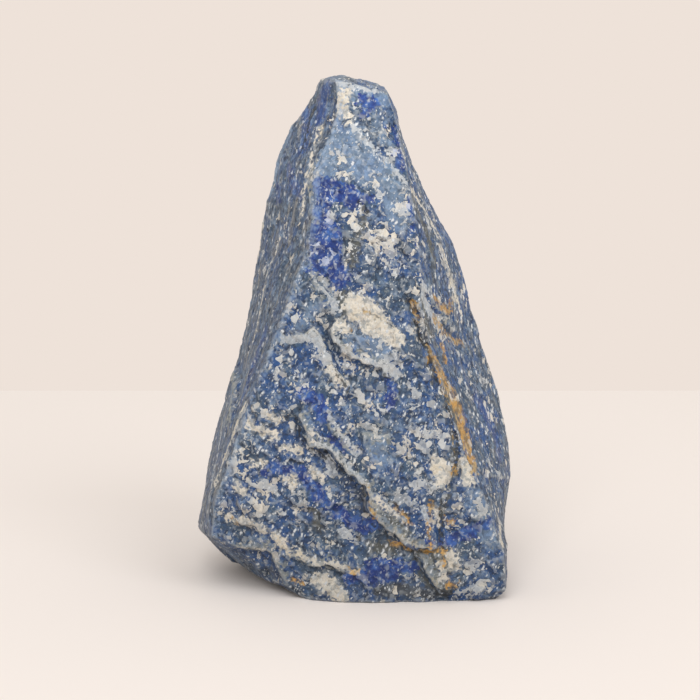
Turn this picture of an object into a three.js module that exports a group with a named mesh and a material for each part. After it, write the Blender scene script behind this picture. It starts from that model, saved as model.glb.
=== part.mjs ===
// A rough, pointed piece of blue quartz (quartzite), standing on its broken base.
// Millimetres, +Z up, +X to the right and -Y towards the front; the base lies in z = 0.
// The stone is one solid: a skin stretched between eight long edges, cut by ledges, veins and chips.

import * as THREE from "three";
import { mergeVertices } from "three/addons/utils/BufferGeometryUtils.js";

// ---------- driving dimensions, mm ----------

// The eight long edges of the stone, from its base to its top facet. Entries with the same place in
// the lists lie on one ring around the stone: base, lower and upper border of the undercut, then
// about every 10 mm to the shoulder and the rim of the top facet.
const FRONT_LEFT = [
  [-14.6, -12, 0], [-25.5, -9, 2.6], [-33.6, -20, 13.8], [-32.8, -21, 22.5], [-29.2, -22, 31.5],
  [-25.8, -22, 42], [-22.7, -21, 51], [-18.9, -20, 60], [-15.2, -19, 70], [-10.9, -16.5, 81],
  [-9.5, -14.5, 90], [-8.3, -12, 99.5], [-5.6, -10, 107], [-3.5, -8.4, 112.5], [-4.1, -6.3, 118.8],
];
const FRONT_INNER_LEFT = [
  [-11.6, -24, 0], [-15.8, -23.5, 2.8], [-20, -23, 11.5], [-17, -24.5, 21], [-13, -25, 31],
  [-10.5, -25, 41.5], [-8.5, -24.3, 50.5], [-6.5, -23, 60], [-4.5, -21.5, 70], [-2.3, -19, 80.5],
  [-1.8, -16.7, 90], [-1.5, -14.2, 99], [-0.2, -11.8, 106.5], [0.6, -10, 112], [0, -7.2, 118.6],
];
const FRONT_INNER_RIGHT = [
  [5, -26.4, 0], [5.5, -26.6, 2.5], [7, -26.4, 9], [9, -26, 20], [9.5, -25.6, 31],
  [8.5, -25, 42], [7.5, -24, 51], [6.5, -22.5, 60], [6, -21, 69.5], [6.3, -18.8, 80],
  [6.2, -16.5, 89.5], [5.4, -13.8, 98.5], [5.6, -11.8, 105.5], [5.2, -10, 111.5], [4.2, -7.2, 117.8],
];
const FRONT_RIGHT = [
  [34.2, -24, 0], [34.5, -24.4, 3], [34.2, -24.2, 10.5], [31.2, -23, 21.8], [26.7, -22, 32.3],
  [22.4, -20.8, 43], [19.3, -19.7, 52], [16.8, -18.6, 60], [15.9, -17.2, 69.5], [15.1, -15.8, 80],
  [13.8, -13.7, 89.5], [12.2, -11.2, 98], [10.9, -9.5, 105], [9.6, -8, 111.5], [7.9, -6.2, 116.8],
];
const BACK_RIGHT = [
  [33.6, 5, 0], [35.4, 5, 3.5], [36.6, 3, 12], [38.4, 3, 23], [37.2, 6, 33],
  [34.4, 8, 44], [31.4, 8.7, 53], [28.8, 9, 61], [26.8, 9, 70.5], [23.8, 9, 80],
  [18.4, 8.3, 89], [14, 6.2, 98.5], [11.4, 4.2, 105.5], [9.7, 2.3, 112], [6.9, 1.2, 117.2],
];
const BACK_RIDGE = [
  [15, 20.5, 0], [16, 24, 4.5], [16.5, 26, 12], [16.6, 26.6, 23], [16.2, 26, 33.5],
  [15.2, 25.3, 44.5], [14, 24.4, 53.5], [12.6, 23.2, 61.5], [10.9, 21.6, 71], [9.3, 19.4, 80.5],
  [7.6, 16.8, 89.5], [5.8, 13.8, 98.5], [4.4, 10.6, 106], [3.4, 7.6, 112], [2.6, 4.6, 117.4],
];
const BACK_INNER_LEFT = [
  [-14, 16, 0], [-17, 18.5, 5], [-19, 20.5, 13], [-19.4, 21.4, 23.5], [-18.8, 21.4, 34],
  [-17.4, 21, 45], [-16, 20.4, 54], [-14.9, 19.6, 62], [-13.8, 18.6, 71.5], [-12.8, 17.4, 81],
  [-11.6, 15.6, 90.5], [-10.4, 13.2, 99.5], [-8.8, 10.4, 106.5], [-6.8, 7.2, 112.2], [-4.4, 4.4, 118.3],
];
const BACK_LEFT = [
  [-24, 7, 0], [-35.6, 3.5, 6.4], [-37.8, 5, 10.5], [-35.7, 9, 22], [-33.6, 11, 33],
  [-30.6, 12, 42.5], [-27.6, 12, 51.5], [-25.6, 12, 60.5], [-24.2, 12, 70], [-22.2, 12, 81],
  [-20.3, 11, 90.2], [-18.2, 9.6, 99.8], [-15, 8, 107.2], [-11, 4.2, 112.6], [-8, 1.6, 119],
];

// The faces between neighbouring edges, anticlockwise from above. `cells` is how finely a face is
// divided, and `bulge` how far its middle stands out, as a share of its width.
const FACES = [
  { from: FRONT_LEFT, to: FRONT_INNER_LEFT, cells: 9, bulge: 0.02 },
  { from: FRONT_INNER_LEFT, to: FRONT_INNER_RIGHT, cells: 10, bulge: 0.02 },
  { from: FRONT_INNER_RIGHT, to: FRONT_RIGHT, cells: 11, bulge: 0.03 },
  { from: FRONT_RIGHT, to: BACK_RIGHT, cells: 11, bulge: 0.02 },
  { from: BACK_RIGHT, to: BACK_RIDGE, cells: 9, bulge: 0.03 },
  { from: BACK_RIDGE, to: BACK_INNER_LEFT, cells: 10, bulge: 0.03 },
  { from: BACK_INNER_LEFT, to: BACK_LEFT, cells: 7, bulge: 0.03 },
  { from: BACK_LEFT, to: FRONT_LEFT, cells: 10, bulge: 0.03 },
];
const ROWS_PER_RING = [3, 5, 5, 5, 5, 5, 5, 5, 5, 4, 4, 4, 3, 3];
const BASE_CENTRE = [5, -1, 0];
const TOP_CENTRE = [-3, -0.4, 118.9];

// Ledges: the broken border of a raised sheet of stone. `line` runs in the plane that the face is
// seen in, (x, z) on the front and back and (y, z) on the sides, with the raised sheet on its left
// hand as that plane is drawn, first axis to the right and z up. `height` is the step at the line,
// and `run` how far from the line the sheet takes to sink back into the face.
const FRONT_LEDGES = [
  {
    name: "main ledge",
    line: [[-12.6, 47], [-12.2, 43], [-10.6, 37.6], [-7, 36.4], [-3, 32.8], [2.1, 28], [3.5, 22],
      [6.3, 18.6], [10, 15.8], [14.2, 13.4], [20.7, 12.2]],
    height: 3.0, run: 17,
  },
  {
    name: "lower ledge",
    line: [[13.6, 13.5], [15.6, 8.7], [18.2, 4.9], [20.8, 0.5]],
    height: 2.4, run: 11,
  },
  {
    name: "pale lobe",
    line: [[-0.6, 49.5], [-3, 53.1], [-6, 59.2], [-7.1, 62.1], [-9.2, 63.5], [-11.3, 62.6], [-16, 62.6]],
    height: 2.4, run: 12,
  },
  {
    name: "cream mass",
    line: [[-3.8, 67], [-5.4, 62], [-3, 58.7], [3.7, 55.6], [8.8, 52.2], [12.2, 50.4]],
    height: 2.6, run: 13,
  },
  {
    name: "middle ledge",
    line: [[-7, 45.5], [-5.3, 40.8], [-2.3, 37.2], [0, 35.2]],
    height: 1.0, run: 7,
  },
  {
    name: "centre facet",
    line: [[10.6, 38.2], [8.1, 41], [5.3, 40.2], [1.7, 41.3], [2.8, 35.6], [4.6, 33.4]],
    height: 1.3, run: 7,
  },
  {
    name: "lower left ledge",
    line: [[-31, 19], [-28, 17.9], [-23.2, 17.7], [-19.4, 15.6]],
    height: 1.1, run: 6,
  },
  {
    name: "cream band",
    line: [[-16, 10.8], [-11.9, 9.2], [-5.1, 8.3], [1.6, 6]],
    height: 1.3, run: 6,
  },
  {
    name: "blue hollow",
    line: [[-3.4, 66.5], [-4.8, 70.4], [-8.3, 75.5], [-10.4, 79.5]],
    height: 1.2, run: 9,
  },
];
const RIGHT_LEDGES = [
  {
    name: "ochre flake",
    line: [[-18, 74], [-14, 69.2], [-11, 65.1], [-7, 60.8], [-1, 58]],
    height: 1.6, run: 9,
  },
  { name: "low right ledge", line: [[-21, 31], [-12, 26], [-2, 23]], height: 1.3, run: 10 },
];
const LEFT_LEDGES = [
  { name: "upper left ledge", line: [[-14, 88], [-11, 94.5], [-10.5, 99], [-9, 105]], height: 1.3, run: 7 },
  { name: "left shelf", line: [[8, 50], [-4, 47], [-15, 40]], height: 1.4, run: 11 },
];
const BACK_LEDGES = [
  { name: "long back ledge", line: [[-25, 55], [-12, 47], [2, 40], [17, 36]], height: 3, run: 17 },
  { name: "high back ledge", line: [[-13, 92], [-4, 84], [2, 73], [12, 67]], height: 2.2, run: 12 },
  { name: "low back ledge", line: [[-22, 17], [-6, 22], [10, 16], [27, 19]], height: 2, run: 10 },
];
const LEDGE_LIP = 0.9; // width of a ledge's steep face
const LEDGE_REACH = 1.3; // points of the skin this near a ledge are drawn onto the edges of its step
const LEDGE_END = 4.5; // length over which a ledge dies out at each end
const RAISED_SHARE = 0.6; // how much of a step stands out of the face; the rest is sunk into it

// The upper right facet of the front: beyond this line the face turns away to the right, and it
// comes back to the rim of the top facet.
const SHOULDER_LINE = [[13.4, 94], [10.2, 98.1], [4.9, 103.6], [0, 109.2], [-2.6, 115.4]];
const SHOULDER_SLOPE = 0.3;
const SHOULDER_DEPTH = 1.8;
const SHOULDER_TOP = 117.5;
const SHOULDER_TOP_RUN = 9;

// Grooves along the ochre vein and the crack below it, and the notch under the front edge.
const VEIN = [[12.8, 70], [14.3, 64.6], [17.8, 54.6], [21.5, 46], [24.3, 37.9]];
const CRACK = [[24.3, 37.9], [23.4, 30.6], [20.4, 21.3], [20.3, 12.6]];
const VEIN_DEPTH = 1.3;
const CRACK_DEPTH = 1.1;
const GROOVE_HALF_WIDTH = 1.8;
const NOTCH = { at: [20.6, 0], depth: 2.6, radius: 3.2 };

// Chips: the skin is broken into flat shards, each tilted and set in or out a little. The shards
// are longest down the grain of the stone. Two sizes lie over each other.
const GRAIN = [0.6, 0.25, -0.76];
const GRAIN_STRETCH = 1.7;
const CHIP_SIZES = [
  { size: 12, step: 0.5, tilt: 0.08 },
  { size: 7, step: 0.3, tilt: 0.07 },
];
const CALM_BASE = 5; // height over which relief may begin to move the skin up or down

const STONE_BLUE = 0x5d7291;
const STONE_ROUGHNESS = 0.62;

// ---------- the skin between the edges ----------

const GRAIN_AXIS = new THREE.Vector3(...GRAIN).normalize();
const COLUMNS = FACES.reduce((sum, face) => sum + face.cells, 0);
const ROWS = ROWS_PER_RING.reduce((sum, rows) => sum + rows, 0);

// Which entry of `counts` the index falls in, and how far through that entry it is.
function locate(index, counts) {
  let entry = 0;
  let left = index;
  while (entry < counts.length - 1 && left >= counts[entry]) {
    left -= counts[entry];
    entry += 1;
  }
  return { entry, share: left / counts[entry] };
}

function pointOnEdge(edge, ring) {
  const low = new THREE.Vector3(...edge[ring.entry]);
  const high = new THREE.Vector3(...edge[ring.entry + 1]);
  return low.lerp(high, ring.share);
}

// The point of the plain skin at a column and a row of the grid.
function skinPoint(column, row) {
  const across = locate(column, FACES.map((face) => face.cells));
  const up = locate(row, ROWS_PER_RING);
  const face = FACES[across.entry];
  const start = pointOnEdge(face.from, up);
  const end = pointOnEdge(face.to, up);
  const width = new THREE.Vector3().subVectors(end, start);
  const outward = new THREE.Vector3(width.y, -width.x, 0);
  const arch = 4 * across.share * (1 - across.share) * face.bulge;
  return start.lerp(end, across.share).addScaledVector(outward, arch);
}

// ---------- relief ----------

const clamp01 = (value) => Math.min(1, Math.max(0, value));

// Distance from (a, b) to a line of points, which side it is on (+1 is the left hand), the foot of
// the shortest way to the line, and how far that foot is from the line's nearer end.
function nearestOnLine(line, a, b) {
  let best = { distance: Infinity, side: 1, toEnd: 0, foot: [0, 0] };
  let total = 0;
  for (let i = 0; i + 1 < line.length; i += 1) {
    const [a0, b0] = line[i];
    const da = line[i + 1][0] - a0;
    const db = line[i + 1][1] - b0;
    const length = Math.hypot(da, db);
    const share = clamp01(((a - a0) * da + (b - b0) * db) / (length * length));
    const foot = [a0 + share * da, b0 + share * db];
    const distance = Math.hypot(a - foot[0], b - foot[1]);
    if (distance < best.distance) {
      const side = da * (b - b0) - db * (a - a0) < 0 ? -1 : 1;
      best = { distance, side, toEnd: total + share * length, foot };
    }
    total += length;
  }
  best.toEnd = Math.min(best.toEnd, total - best.toEnd);
  return best;
}

// How far a ledge moves the face outwards at (a, b).
function ledgeRelief(ledge, a, b) {
  const near = nearestOnLine(ledge.line, a, b);
  const fade = clamp01(1 - near.distance / ledge.run) * clamp01(near.toEnd / LEDGE_END);
  const raised = clamp01(0.5 + (near.side * near.distance) / LEDGE_LIP);
  return ledge.height * fade * (raised - 1 + RAISED_SHARE);
}

function grooveRelief(line, depth, a, b) {
  const near = nearestOnLine(line, a, b);
  return -depth * clamp01(1 - near.distance / GROOVE_HALF_WIDTH);
}

function shoulderRelief(x, z) {
  const near = nearestOnLine(SHOULDER_LINE, x, z);
  if (near.side > 0) return 0;
  const fade = clamp01((SHOULDER_TOP - z) / SHOULDER_TOP_RUN);
  return -fade * Math.min(SHOULDER_DEPTH, SHOULDER_SLOPE * near.distance);
}

function notchRelief(x, z) {
  const distance = Math.hypot(x - NOTCH.at[0], z - NOTCH.at[1]);
  return -NOTCH.depth * clamp01(1 - distance / NOTCH.radius);
}

// A number from 0 to 1 that depends on three whole numbers and a salt, and on nothing else.
function scatter(i, j, k, salt) {
  const mixed = Math.sin(i * 12.9898 + j * 78.233 + k * 37.719 + salt * 93.989) * 43758.5453;
  return mixed - Math.floor(mixed);
}

// The relief of the shard that a point lies in: the shard of the nearest seed, where each cell of a
// lattice holds one seed.
function shardRelief(point, chips) {
  const along = point.dot(GRAIN_AXIS);
  const squeezed = point.clone().addScaledVector(GRAIN_AXIS, along / GRAIN_STRETCH - along);
  const place = squeezed.divideScalar(chips.size);
  const cell = place.clone().floor();
  let nearest = { distance: Infinity, relief: 0 };
  for (let n = 0; n < 27; n += 1) {
    const i = cell.x + (n % 3) - 1;
    const j = cell.y + (Math.floor(n / 3) % 3) - 1;
    const k = cell.z + Math.floor(n / 9) - 1;
    const seed = new THREE.Vector3(scatter(i, j, k, 1), scatter(i, j, k, 2), scatter(i, j, k, 3));
    const offset = place.clone().sub(seed.add(new THREE.Vector3(i, j, k)));
    if (offset.length() < nearest.distance) {
      const slope = new THREE.Vector3(scatter(i, j, k, 4), scatter(i, j, k, 5), scatter(i, j, k, 6));
      const tilted = offset.dot(slope.subScalar(0.5)) * 2 * chips.tilt * chips.size;
      const stepped = (scatter(i, j, k, 7) - 0.5) * 2 * chips.step;
      nearest = { distance: offset.length(), relief: stepped + tilted };
    }
  }
  return nearest.relief;
}

const unevenness = (point) => CHIP_SIZES.reduce((sum, chips) => sum + shardRelief(point, chips), 0);

// The four sides that relief is drawn on: which way each looks, and its level axis.
const SIDES = [
  { out: new THREE.Vector3(0, -1, 0), level: "x", ledges: FRONT_LEDGES },
  { out: new THREE.Vector3(1, 0, 0), level: "y", ledges: RIGHT_LEDGES },
  { out: new THREE.Vector3(0, 1, 0), level: "x", ledges: BACK_LEDGES },
  { out: new THREE.Vector3(-1, 0, 0), level: "y", ledges: LEFT_LEDGES },
];
const FRONT_SIDE = SIDES[0];

// How much a point with this normal belongs to a side, from 0 to 1.
const belonging = (normal, side) => clamp01((normal.dot(side.out) - 0.45) / 0.25);

// Draws a point that is close to a ledge onto the upper or lower edge of its step, so that the step
// follows its line and not the grid of the skin.
function drawnToLedges(point, side) {
  const moved = point.clone();
  for (const ledge of side.ledges) {
    const near = nearestOnLine(ledge.line, moved[side.level], moved.z);
    if (near.distance > 0.01 && near.distance < LEDGE_REACH && near.toEnd > 0.5) {
      const share = LEDGE_LIP / 2 / near.distance;
      moved[side.level] = near.foot[0] + (moved[side.level] - near.foot[0]) * share;
      moved.z = near.foot[1] + (moved.z - near.foot[1]) * share;
      break;
    }
  }
  return moved;
}

// The relief that is drawn on a side, outwards, at a point.
function drawnRelief(point, side) {
  const level = point[side.level];
  const ledges = side.ledges.reduce((sum, ledge) => sum + ledgeRelief(ledge, level, point.z), 0);
  if (side !== FRONT_SIDE) return ledges;
  return ledges
    + grooveRelief(VEIN, VEIN_DEPTH, level, point.z)
    + grooveRelief(CRACK, CRACK_DEPTH, level, point.z)
    + shoulderRelief(level, point.z)
    + notchRelief(level, point.z);
}

// Moves one point of the skin by the relief of its place.
function carve(point, normal) {
  const owner = SIDES.find((side) => belonging(normal, side) > 0.5);
  const carved = owner ? drawnToLedges(point, owner) : point.clone();
  const move = normal.clone().multiplyScalar(unevenness(point));
  for (const side of SIDES) {
    const share = belonging(normal, side);
    if (share > 0) move.addScaledVector(side.out, share * drawnRelief(carved, side));
  }
  move.z *= clamp01(point.z / CALM_BASE);
  return carved.add(move);
}

// ---------- the solid ----------

// Divides each four-sided cell of the wall along its shorter diagonal, so that the long edges of
// the triangles run along the ledges and not across them.
function turnDiagonals(geometry) {
  const places = geometry.getAttribute("position");
  const index = geometry.getIndex();
  const at = (corner) => new THREE.Vector3().fromBufferAttribute(places, corner);
  const wallCells = COLUMNS * ROWS;
  for (let cell = 0; cell < wallCells; cell += 1) {
    const first = cell * 6;
    const [a, b, d] = [index.getX(first), index.getX(first + 1), index.getX(first + 2)];
    const c = index.getX(first + 4);
    if (at(a).distanceTo(at(c)) < at(b).distanceTo(at(d))) {
      [a, b, c, a, c, d].forEach((corner, i) => index.setX(first + i, corner));
    }
  }
}

// A closed drum of COLUMNS by ROWS cells whose points are moved onto the stone: its wall becomes the
// skin, and its two ends become the base and the top facet.
function stoneGeometry() {
  const drum = new THREE.CylinderGeometry(1, 1, 1, COLUMNS, ROWS);
  drum.deleteAttribute("normal");
  drum.deleteAttribute("uv");
  const geometry = mergeVertices(drum, 1e-4);
  const places = geometry.getAttribute("position");
  for (let i = 0; i < places.count; i += 1) {
    const [x, y, z] = [places.getX(i), places.getY(i), places.getZ(i)];
    const turn = (Math.atan2(x, z) / (2 * Math.PI) + 1) % 1;
    const column = Math.round(turn * COLUMNS) % COLUMNS;
    const row = Math.round((y + 0.5) * ROWS);
    const onAxis = Math.hypot(x, z) < 0.5;
    const centre = y < 0 ? BASE_CENTRE : TOP_CENTRE;
    const point = onAxis ? new THREE.Vector3(...centre) : skinPoint(column, row);
    places.setXYZ(i, point.x, point.y, point.z);
  }
  geometry.computeVertexNormals();
  const normals = geometry.getAttribute("normal");
  for (let i = 0; i < places.count; i += 1) {
    const point = new THREE.Vector3().fromBufferAttribute(places, i);
    const normal = new THREE.Vector3().fromBufferAttribute(normals, i);
    const carved = carve(point, normal);
    places.setXYZ(i, carved.x, carved.y, carved.z);
  }
  turnDiagonals(geometry);
  geometry.computeVertexNormals();
  return geometry;
}

const stoneMaterial = new THREE.MeshStandardMaterial({
  color: STONE_BLUE,
  roughness: STONE_ROUGHNESS,
  metalness: 0,
  flatShading: true,
});
const stone = new THREE.Mesh(stoneGeometry(), stoneMaterial);
stone.name = "quartz_stone";

const specimen = new THREE.Group();
specimen.add(stone);

export default specimen;
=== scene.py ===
"""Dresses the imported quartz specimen: a finely broken, mottled blue stone on a plain studio floor."""

import itertools
import math

import bmesh
import bpy
import numpy as np
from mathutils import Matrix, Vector, noise


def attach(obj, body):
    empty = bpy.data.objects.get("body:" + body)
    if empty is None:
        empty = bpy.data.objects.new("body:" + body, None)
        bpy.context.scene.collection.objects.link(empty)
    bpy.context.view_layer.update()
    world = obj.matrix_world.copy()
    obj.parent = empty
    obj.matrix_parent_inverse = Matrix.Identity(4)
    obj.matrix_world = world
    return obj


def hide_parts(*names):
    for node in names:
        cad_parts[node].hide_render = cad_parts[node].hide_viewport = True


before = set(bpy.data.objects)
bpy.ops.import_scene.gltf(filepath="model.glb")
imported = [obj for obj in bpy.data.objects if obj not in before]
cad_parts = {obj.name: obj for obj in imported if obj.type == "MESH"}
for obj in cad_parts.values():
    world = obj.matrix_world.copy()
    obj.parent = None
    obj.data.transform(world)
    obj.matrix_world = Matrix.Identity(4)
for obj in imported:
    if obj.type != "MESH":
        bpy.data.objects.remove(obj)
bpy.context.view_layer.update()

bl_info = {
    "name": "Blue Quartz Specimen",
    "version": (1, 0, 0),
    "blender": (4, 5, 0),
    "location": "3D View > Sidebar > Quartz",
    "description": "Models and finishes a rough, pointed piece of blue quartz",
    "category": "Object",
}

MM = 0.001
STONE_NODE = "quartz_stone"
STONE_PIECE = "quartz_stone_surface"

# ---------- the stone's long edges, mm ----------

# The solid's eight edges from the base to the top facet, with the right foot drawn more closely.
# Entries with the same place in the lists lie on one ring around the stone.
FRONT_LEFT = [
    (-14.6, -12, 0), (-25.5, -9, 2.6), (-33.6, -20, 13.8), (-32.8, -21, 22.5), (-29.2, -22, 31.5),
    (-25.8, -22, 42), (-22.7, -21, 51), (-18.9, -20, 60), (-15.2, -19, 70), (-10.9, -16.5, 81),
    (-9.5, -14.5, 90), (-8.3, -12, 99.5), (-5.6, -10, 107), (-3.5, -8.4, 112.5), (-4.1, -6.3, 118.8),
]
FRONT_INNER_LEFT = [
    (-11.6, -24, 0), (-15.8, -23.5, 2.8), (-20, -23, 11.5), (-17, -24.5, 21), (-13, -25, 31),
    (-10.5, -25, 41.5), (-8.5, -24.3, 50.5), (-6.5, -23, 60), (-4.5, -21.5, 70), (-2.3, -19, 80.5),
    (-1.8, -16.7, 90), (-1.5, -14.2, 99), (-0.2, -11.8, 106.5), (0.6, -10, 112), (0, -7.2, 118.6),
]
FRONT_INNER_RIGHT = [
    (5, -26.4, 0), (5.5, -26.6, 2.5), (7, -26.4, 9), (9, -26, 20), (9.5, -25.6, 31),
    (8.5, -25, 42), (7.5, -24, 51), (6.5, -22.5, 60), (6, -21, 69.5), (6.3, -18.8, 80),
    (6.2, -16.5, 89.5), (5.4, -13.8, 98.5), (5.6, -11.8, 105.5), (5.2, -10, 111.5), (4.2, -7.2, 117.8),
]
FRONT_RIGHT = [
    (33.2, -23.4, 0), (35.3, -24.6, 2.6), (35, -24.3, 10.5), (31.4, -23, 21.8), (26.7, -22, 32.3),
    (22.4, -20.8, 43), (19.3, -19.7, 52), (16.8, -18.6, 60), (15.9, -17.2, 69.5), (15.1, -15.8, 80),
    (13.8, -13.7, 89.5), (12.2, -11.2, 98), (10.9, -9.5, 105), (9.6, -8, 111.5), (7.9, -6.2, 116.8),
]
BACK_RIGHT = [
    (33.6, 5, 0), (35.4, 5, 3.5), (36, 3, 12), (38.2, 3, 23), (37.2, 6, 33),
    (34.4, 8, 44), (31.4, 8.7, 53), (28.8, 9, 61), (26.8, 9, 70.5), (23.8, 9, 80),
    (18.4, 8.3, 89), (14, 6.2, 98.5), (11.4, 4.2, 105.5), (9.7, 2.3, 112), (6.9, 1.2, 117.2),
]
BACK_RIDGE = [
    (15, 20.5, 0), (16, 24, 4.5), (16.5, 26, 12), (16.6, 26.6, 23), (16.2, 26, 33.5),
    (15.2, 25.3, 44.5), (14, 24.4, 53.5), (12.6, 23.2, 61.5), (10.9, 21.6, 71), (9.3, 19.4, 80.5),
    (7.6, 16.8, 89.5), (5.8, 13.8, 98.5), (4.4, 10.6, 106), (3.4, 7.6, 112), (2.6, 4.6, 117.4),
]
BACK_INNER_LEFT = [
    (-14, 16, 0), (-17, 18.5, 5), (-19, 20.5, 13), (-19.4, 21.4, 23.5), (-18.8, 21.4, 34),
    (-17.4, 21, 45), (-16, 20.4, 54), (-14.9, 19.6, 62), (-13.8, 18.6, 71.5), (-12.8, 17.4, 81),
    (-11.6, 15.6, 90.5), (-10.4, 13.2, 99.5), (-8.8, 10.4, 106.5), (-6.8, 7.2, 112.2), (-4.4, 4.4, 118.3),
]
BACK_LEFT = [
    (-24, 7, 0), (-35.6, 3.5, 6.4), (-37.8, 5, 10.5), (-35.7, 9, 22), (-33.6, 11, 33),
    (-30.6, 12, 42.5), (-27.6, 12, 51.5), (-25.6, 12, 60.5), (-24.2, 12, 70), (-22.2, 12, 81),
    (-20.3, 11, 90.2), (-18.2, 9.6, 99.8), (-15, 8, 107.2), (-11, 4.2, 112.6), (-8, 1.6, 119),
]
LONG_EDGES = [
    FRONT_LEFT, FRONT_INNER_LEFT, FRONT_INNER_RIGHT, FRONT_RIGHT,
    BACK_RIGHT, BACK_RIDGE, BACK_INNER_LEFT, BACK_LEFT,
]
FACE_BULGES = (0.02, 0.02, 0.03, 0.02, 0.03, 0.03, 0.03, 0.03)
TOP_CENTRE = (-3, -0.4, 118.9)

# ---------- ledges, grooves and chips, mm ----------

# The sides that things are drawn on: which way each looks, and which axis is level on its plane.
SIDES = {
    "front": ((0, -1, 0), 0),
    "right": ((1, 0, 0), 1),
    "back": ((0, 1, 0), 0),
    "left": ((-1, 0, 0), 1),
}
# A point belongs to a side from where its normal leans this far that way, and fully after this run.
SIDE_FROM = 0.45
SIDE_RUN = 0.25

# Each ledge is the broken border of a raised sheet: step height, run over which the sheet sinks
# back, and the border's line in (x, z) on the front and back or (y, z) on the sides, with the
# sheet on the line's left hand.
LEDGES = {
    "front": [
        (3.0, 17, [(-12.6, 47), (-12.2, 43), (-10.6, 37.6), (-7, 36.4), (-3, 32.8), (2.1, 28),
                   (3.5, 22), (6.3, 18.6), (10, 15.8), (14.2, 13.4), (20.7, 12.2)]),
        (2.4, 11, [(13.6, 13.5), (15.6, 8.7), (18.2, 4.9), (20.8, 0.5)]),
        (1.8, 12, [(-0.4, 50.3), (-2.6, 53.5), (-4.6, 56.9), (-5.9, 60.3), (-7.2, 63), (-9, 64.2),
                   (-11.4, 63.4), (-16, 63.2)]),
        (2.0, 13, [(-3.7, 66.8), (-5.1, 64.6), (-5.5, 62.6), (-4.8, 60.4), (-2.9, 58.7), (0.1, 57.3),
                   (5.9, 55.4), (7, 53.6), (10.8, 51.6)]),
        (1.8, 8, [(-31.1, 8.7), (-28.5, 11), (-24.7, 11.5), (-20.9, 12), (-19.7, 11.2),
                  (-18.7, 8.8), (-16.8, 4.2), (-15.6, 1)]),
        (1.0, 7, [(-7, 45.5), (-5.3, 40.8), (-2.3, 37.2), (0, 35.2)]),
        (1.3, 7, [(10.6, 38.2), (8.1, 41), (5.3, 40.2), (1.7, 41.3), (2.8, 35.6), (4.6, 33.4)]),
        (1.1, 6, [(-31, 19), (-28, 17.9), (-23.2, 17.7), (-19.4, 15.6)]),
        (1.3, 6, [(-16, 10.8), (-11.9, 9.2), (-5.1, 8.3), (1.6, 6)]),
        (1.2, 9, [(-3.4, 66.5), (-4.8, 70.4), (-8.3, 75.5), (-10.4, 79.5)]),
    ],
    "right": [
        (1.0, 9, [(-18, 74), (-14, 69.2), (-11, 65.1), (-7, 60.8), (-1, 58)]),
        (0.7, 10, [(-21, 31), (-12, 26), (-2, 23)]),
    ],
    "left": [
        (1.3, 7, [(-14, 88), (-11, 94.5), (-10.5, 99), (-9, 105)]),
        (1.4, 11, [(8, 50), (-4, 47), (-15, 40)]),
    ],
    "back": [
        (3.0, 17, [(-25, 55), (-12, 47), (2, 40), (17, 36)]),
        (2.2, 12, [(-13, 92), (-4, 84), (2, 73), (12, 67)]),
        (2.0, 10, [(-22, 17), (-6, 22), (10, 16), (27, 19)]),
    ],
}
LEDGE_LIP = 0.5
LEDGE_END = 4.5
RAISED_SHARE = 0.6
GUTTER_DEPTH = 0.25
GUTTER_AT = 0.9
GUTTER_WIDTH = 0.6
LIP_WIDTH = 3.2
FOOT_WIDTH = 1.6
FULL_HEIGHT = 2  # ledges lower than this have a fainter lip and foot

SHOULDER_LINE = [(13.4, 94), (10.2, 98.1), (4.9, 103.6), (0, 109.2), (-2.6, 115.4)]
SHOULDER_SLOPE = 0.3
SHOULDER_DEPTH = 1.8
SHOULDER_TOP = 117.5
SHOULDER_TOP_RUN = 9

# Grooves on the front: depth, half width and line.
GROOVES = [
    (1.3, 1.5, [(12.8, 70), (14.3, 64.6), (17.8, 54.6), (21.5, 46), (24.3, 37.9)]),
    (1.1, 1.2, [(24.3, 37.9), (23.4, 30.6), (20.4, 21.3), (20.3, 12.6)]),
]
NOTCH_AT = (20.6, 0)
NOTCH_DEPTH = 2.6
NOTCH_RADIUS = 3.2

# Flat shards that the skin is broken into, longest down the grain: size, step and tilt.
GRAIN = np.array((0.6, 0.25, -0.76)) / np.linalg.norm((0.6, 0.25, -0.76))
GRAIN_STRETCH = 1.7
COARSE_SHARDS = [(12, 0.2, 0.07), (7, 0.15, 0.06)]
FINE_SHARDS = [(3.6, 0.15, 0.11), (1.9, 0.07, 0.12)]
COARSE_BEND = (9.0, 4.0)  # size and reach of the bends in the shards' borders
FINE_BEND = (3.0, 1.2)
FINER = 3  # how much smaller the second bends are
SIDE_CALM = 0.6  # share of the uneven relief that the two side faces lack
CALM_BASE = 5  # height over which ledges may begin to move the skin up or down
CALM_FOOT = 2.0  # the same for the fine relief

# Small shards that shift what is drawn, so that its borders look broken.
CHIP_SIZE = 2.6
STROKE_CHIP = (1.2, 0.5)  # size and reach
CHIP_STRETCH = 1.2
CHIP_DRIFT = (1.5, 0.6)  # size and reach of a smooth shift that is added, in shares of the shards'

# Fine relief, mm. A slope is where relief sets in and where it is full, inside the border.
GRIT_SIZE = 1.3
CREAM_RISE = 0.2
CREAM_GRAIN = 0.3
CREAM_GRAIN_SIZE = 1.5
CREAM_SLOPE = (-0.6, 0.8)
VEIN_SINK = 0.25
VEIN_SLOPE = (-0.5, 0.5)

# Pale plates: size of the scallops between them, and how far from a scallop's middle they begin.
PLATE_SIZE = 2.5
PLATE_STRETCH = 1.3
PLATE_BEND = (1.6, 0.8)
PLATE_EDGE = 0.78
PLATE_CLOUDS = 11.0
CLOUDS_GAIN = 0.3
PALE_GAIN = 0.5
PALE_SLOPE = (-1.2, 1.2)
PLATE_SLOPE = (-0.15, 0.15)

NOISE_SEED = 1
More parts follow.
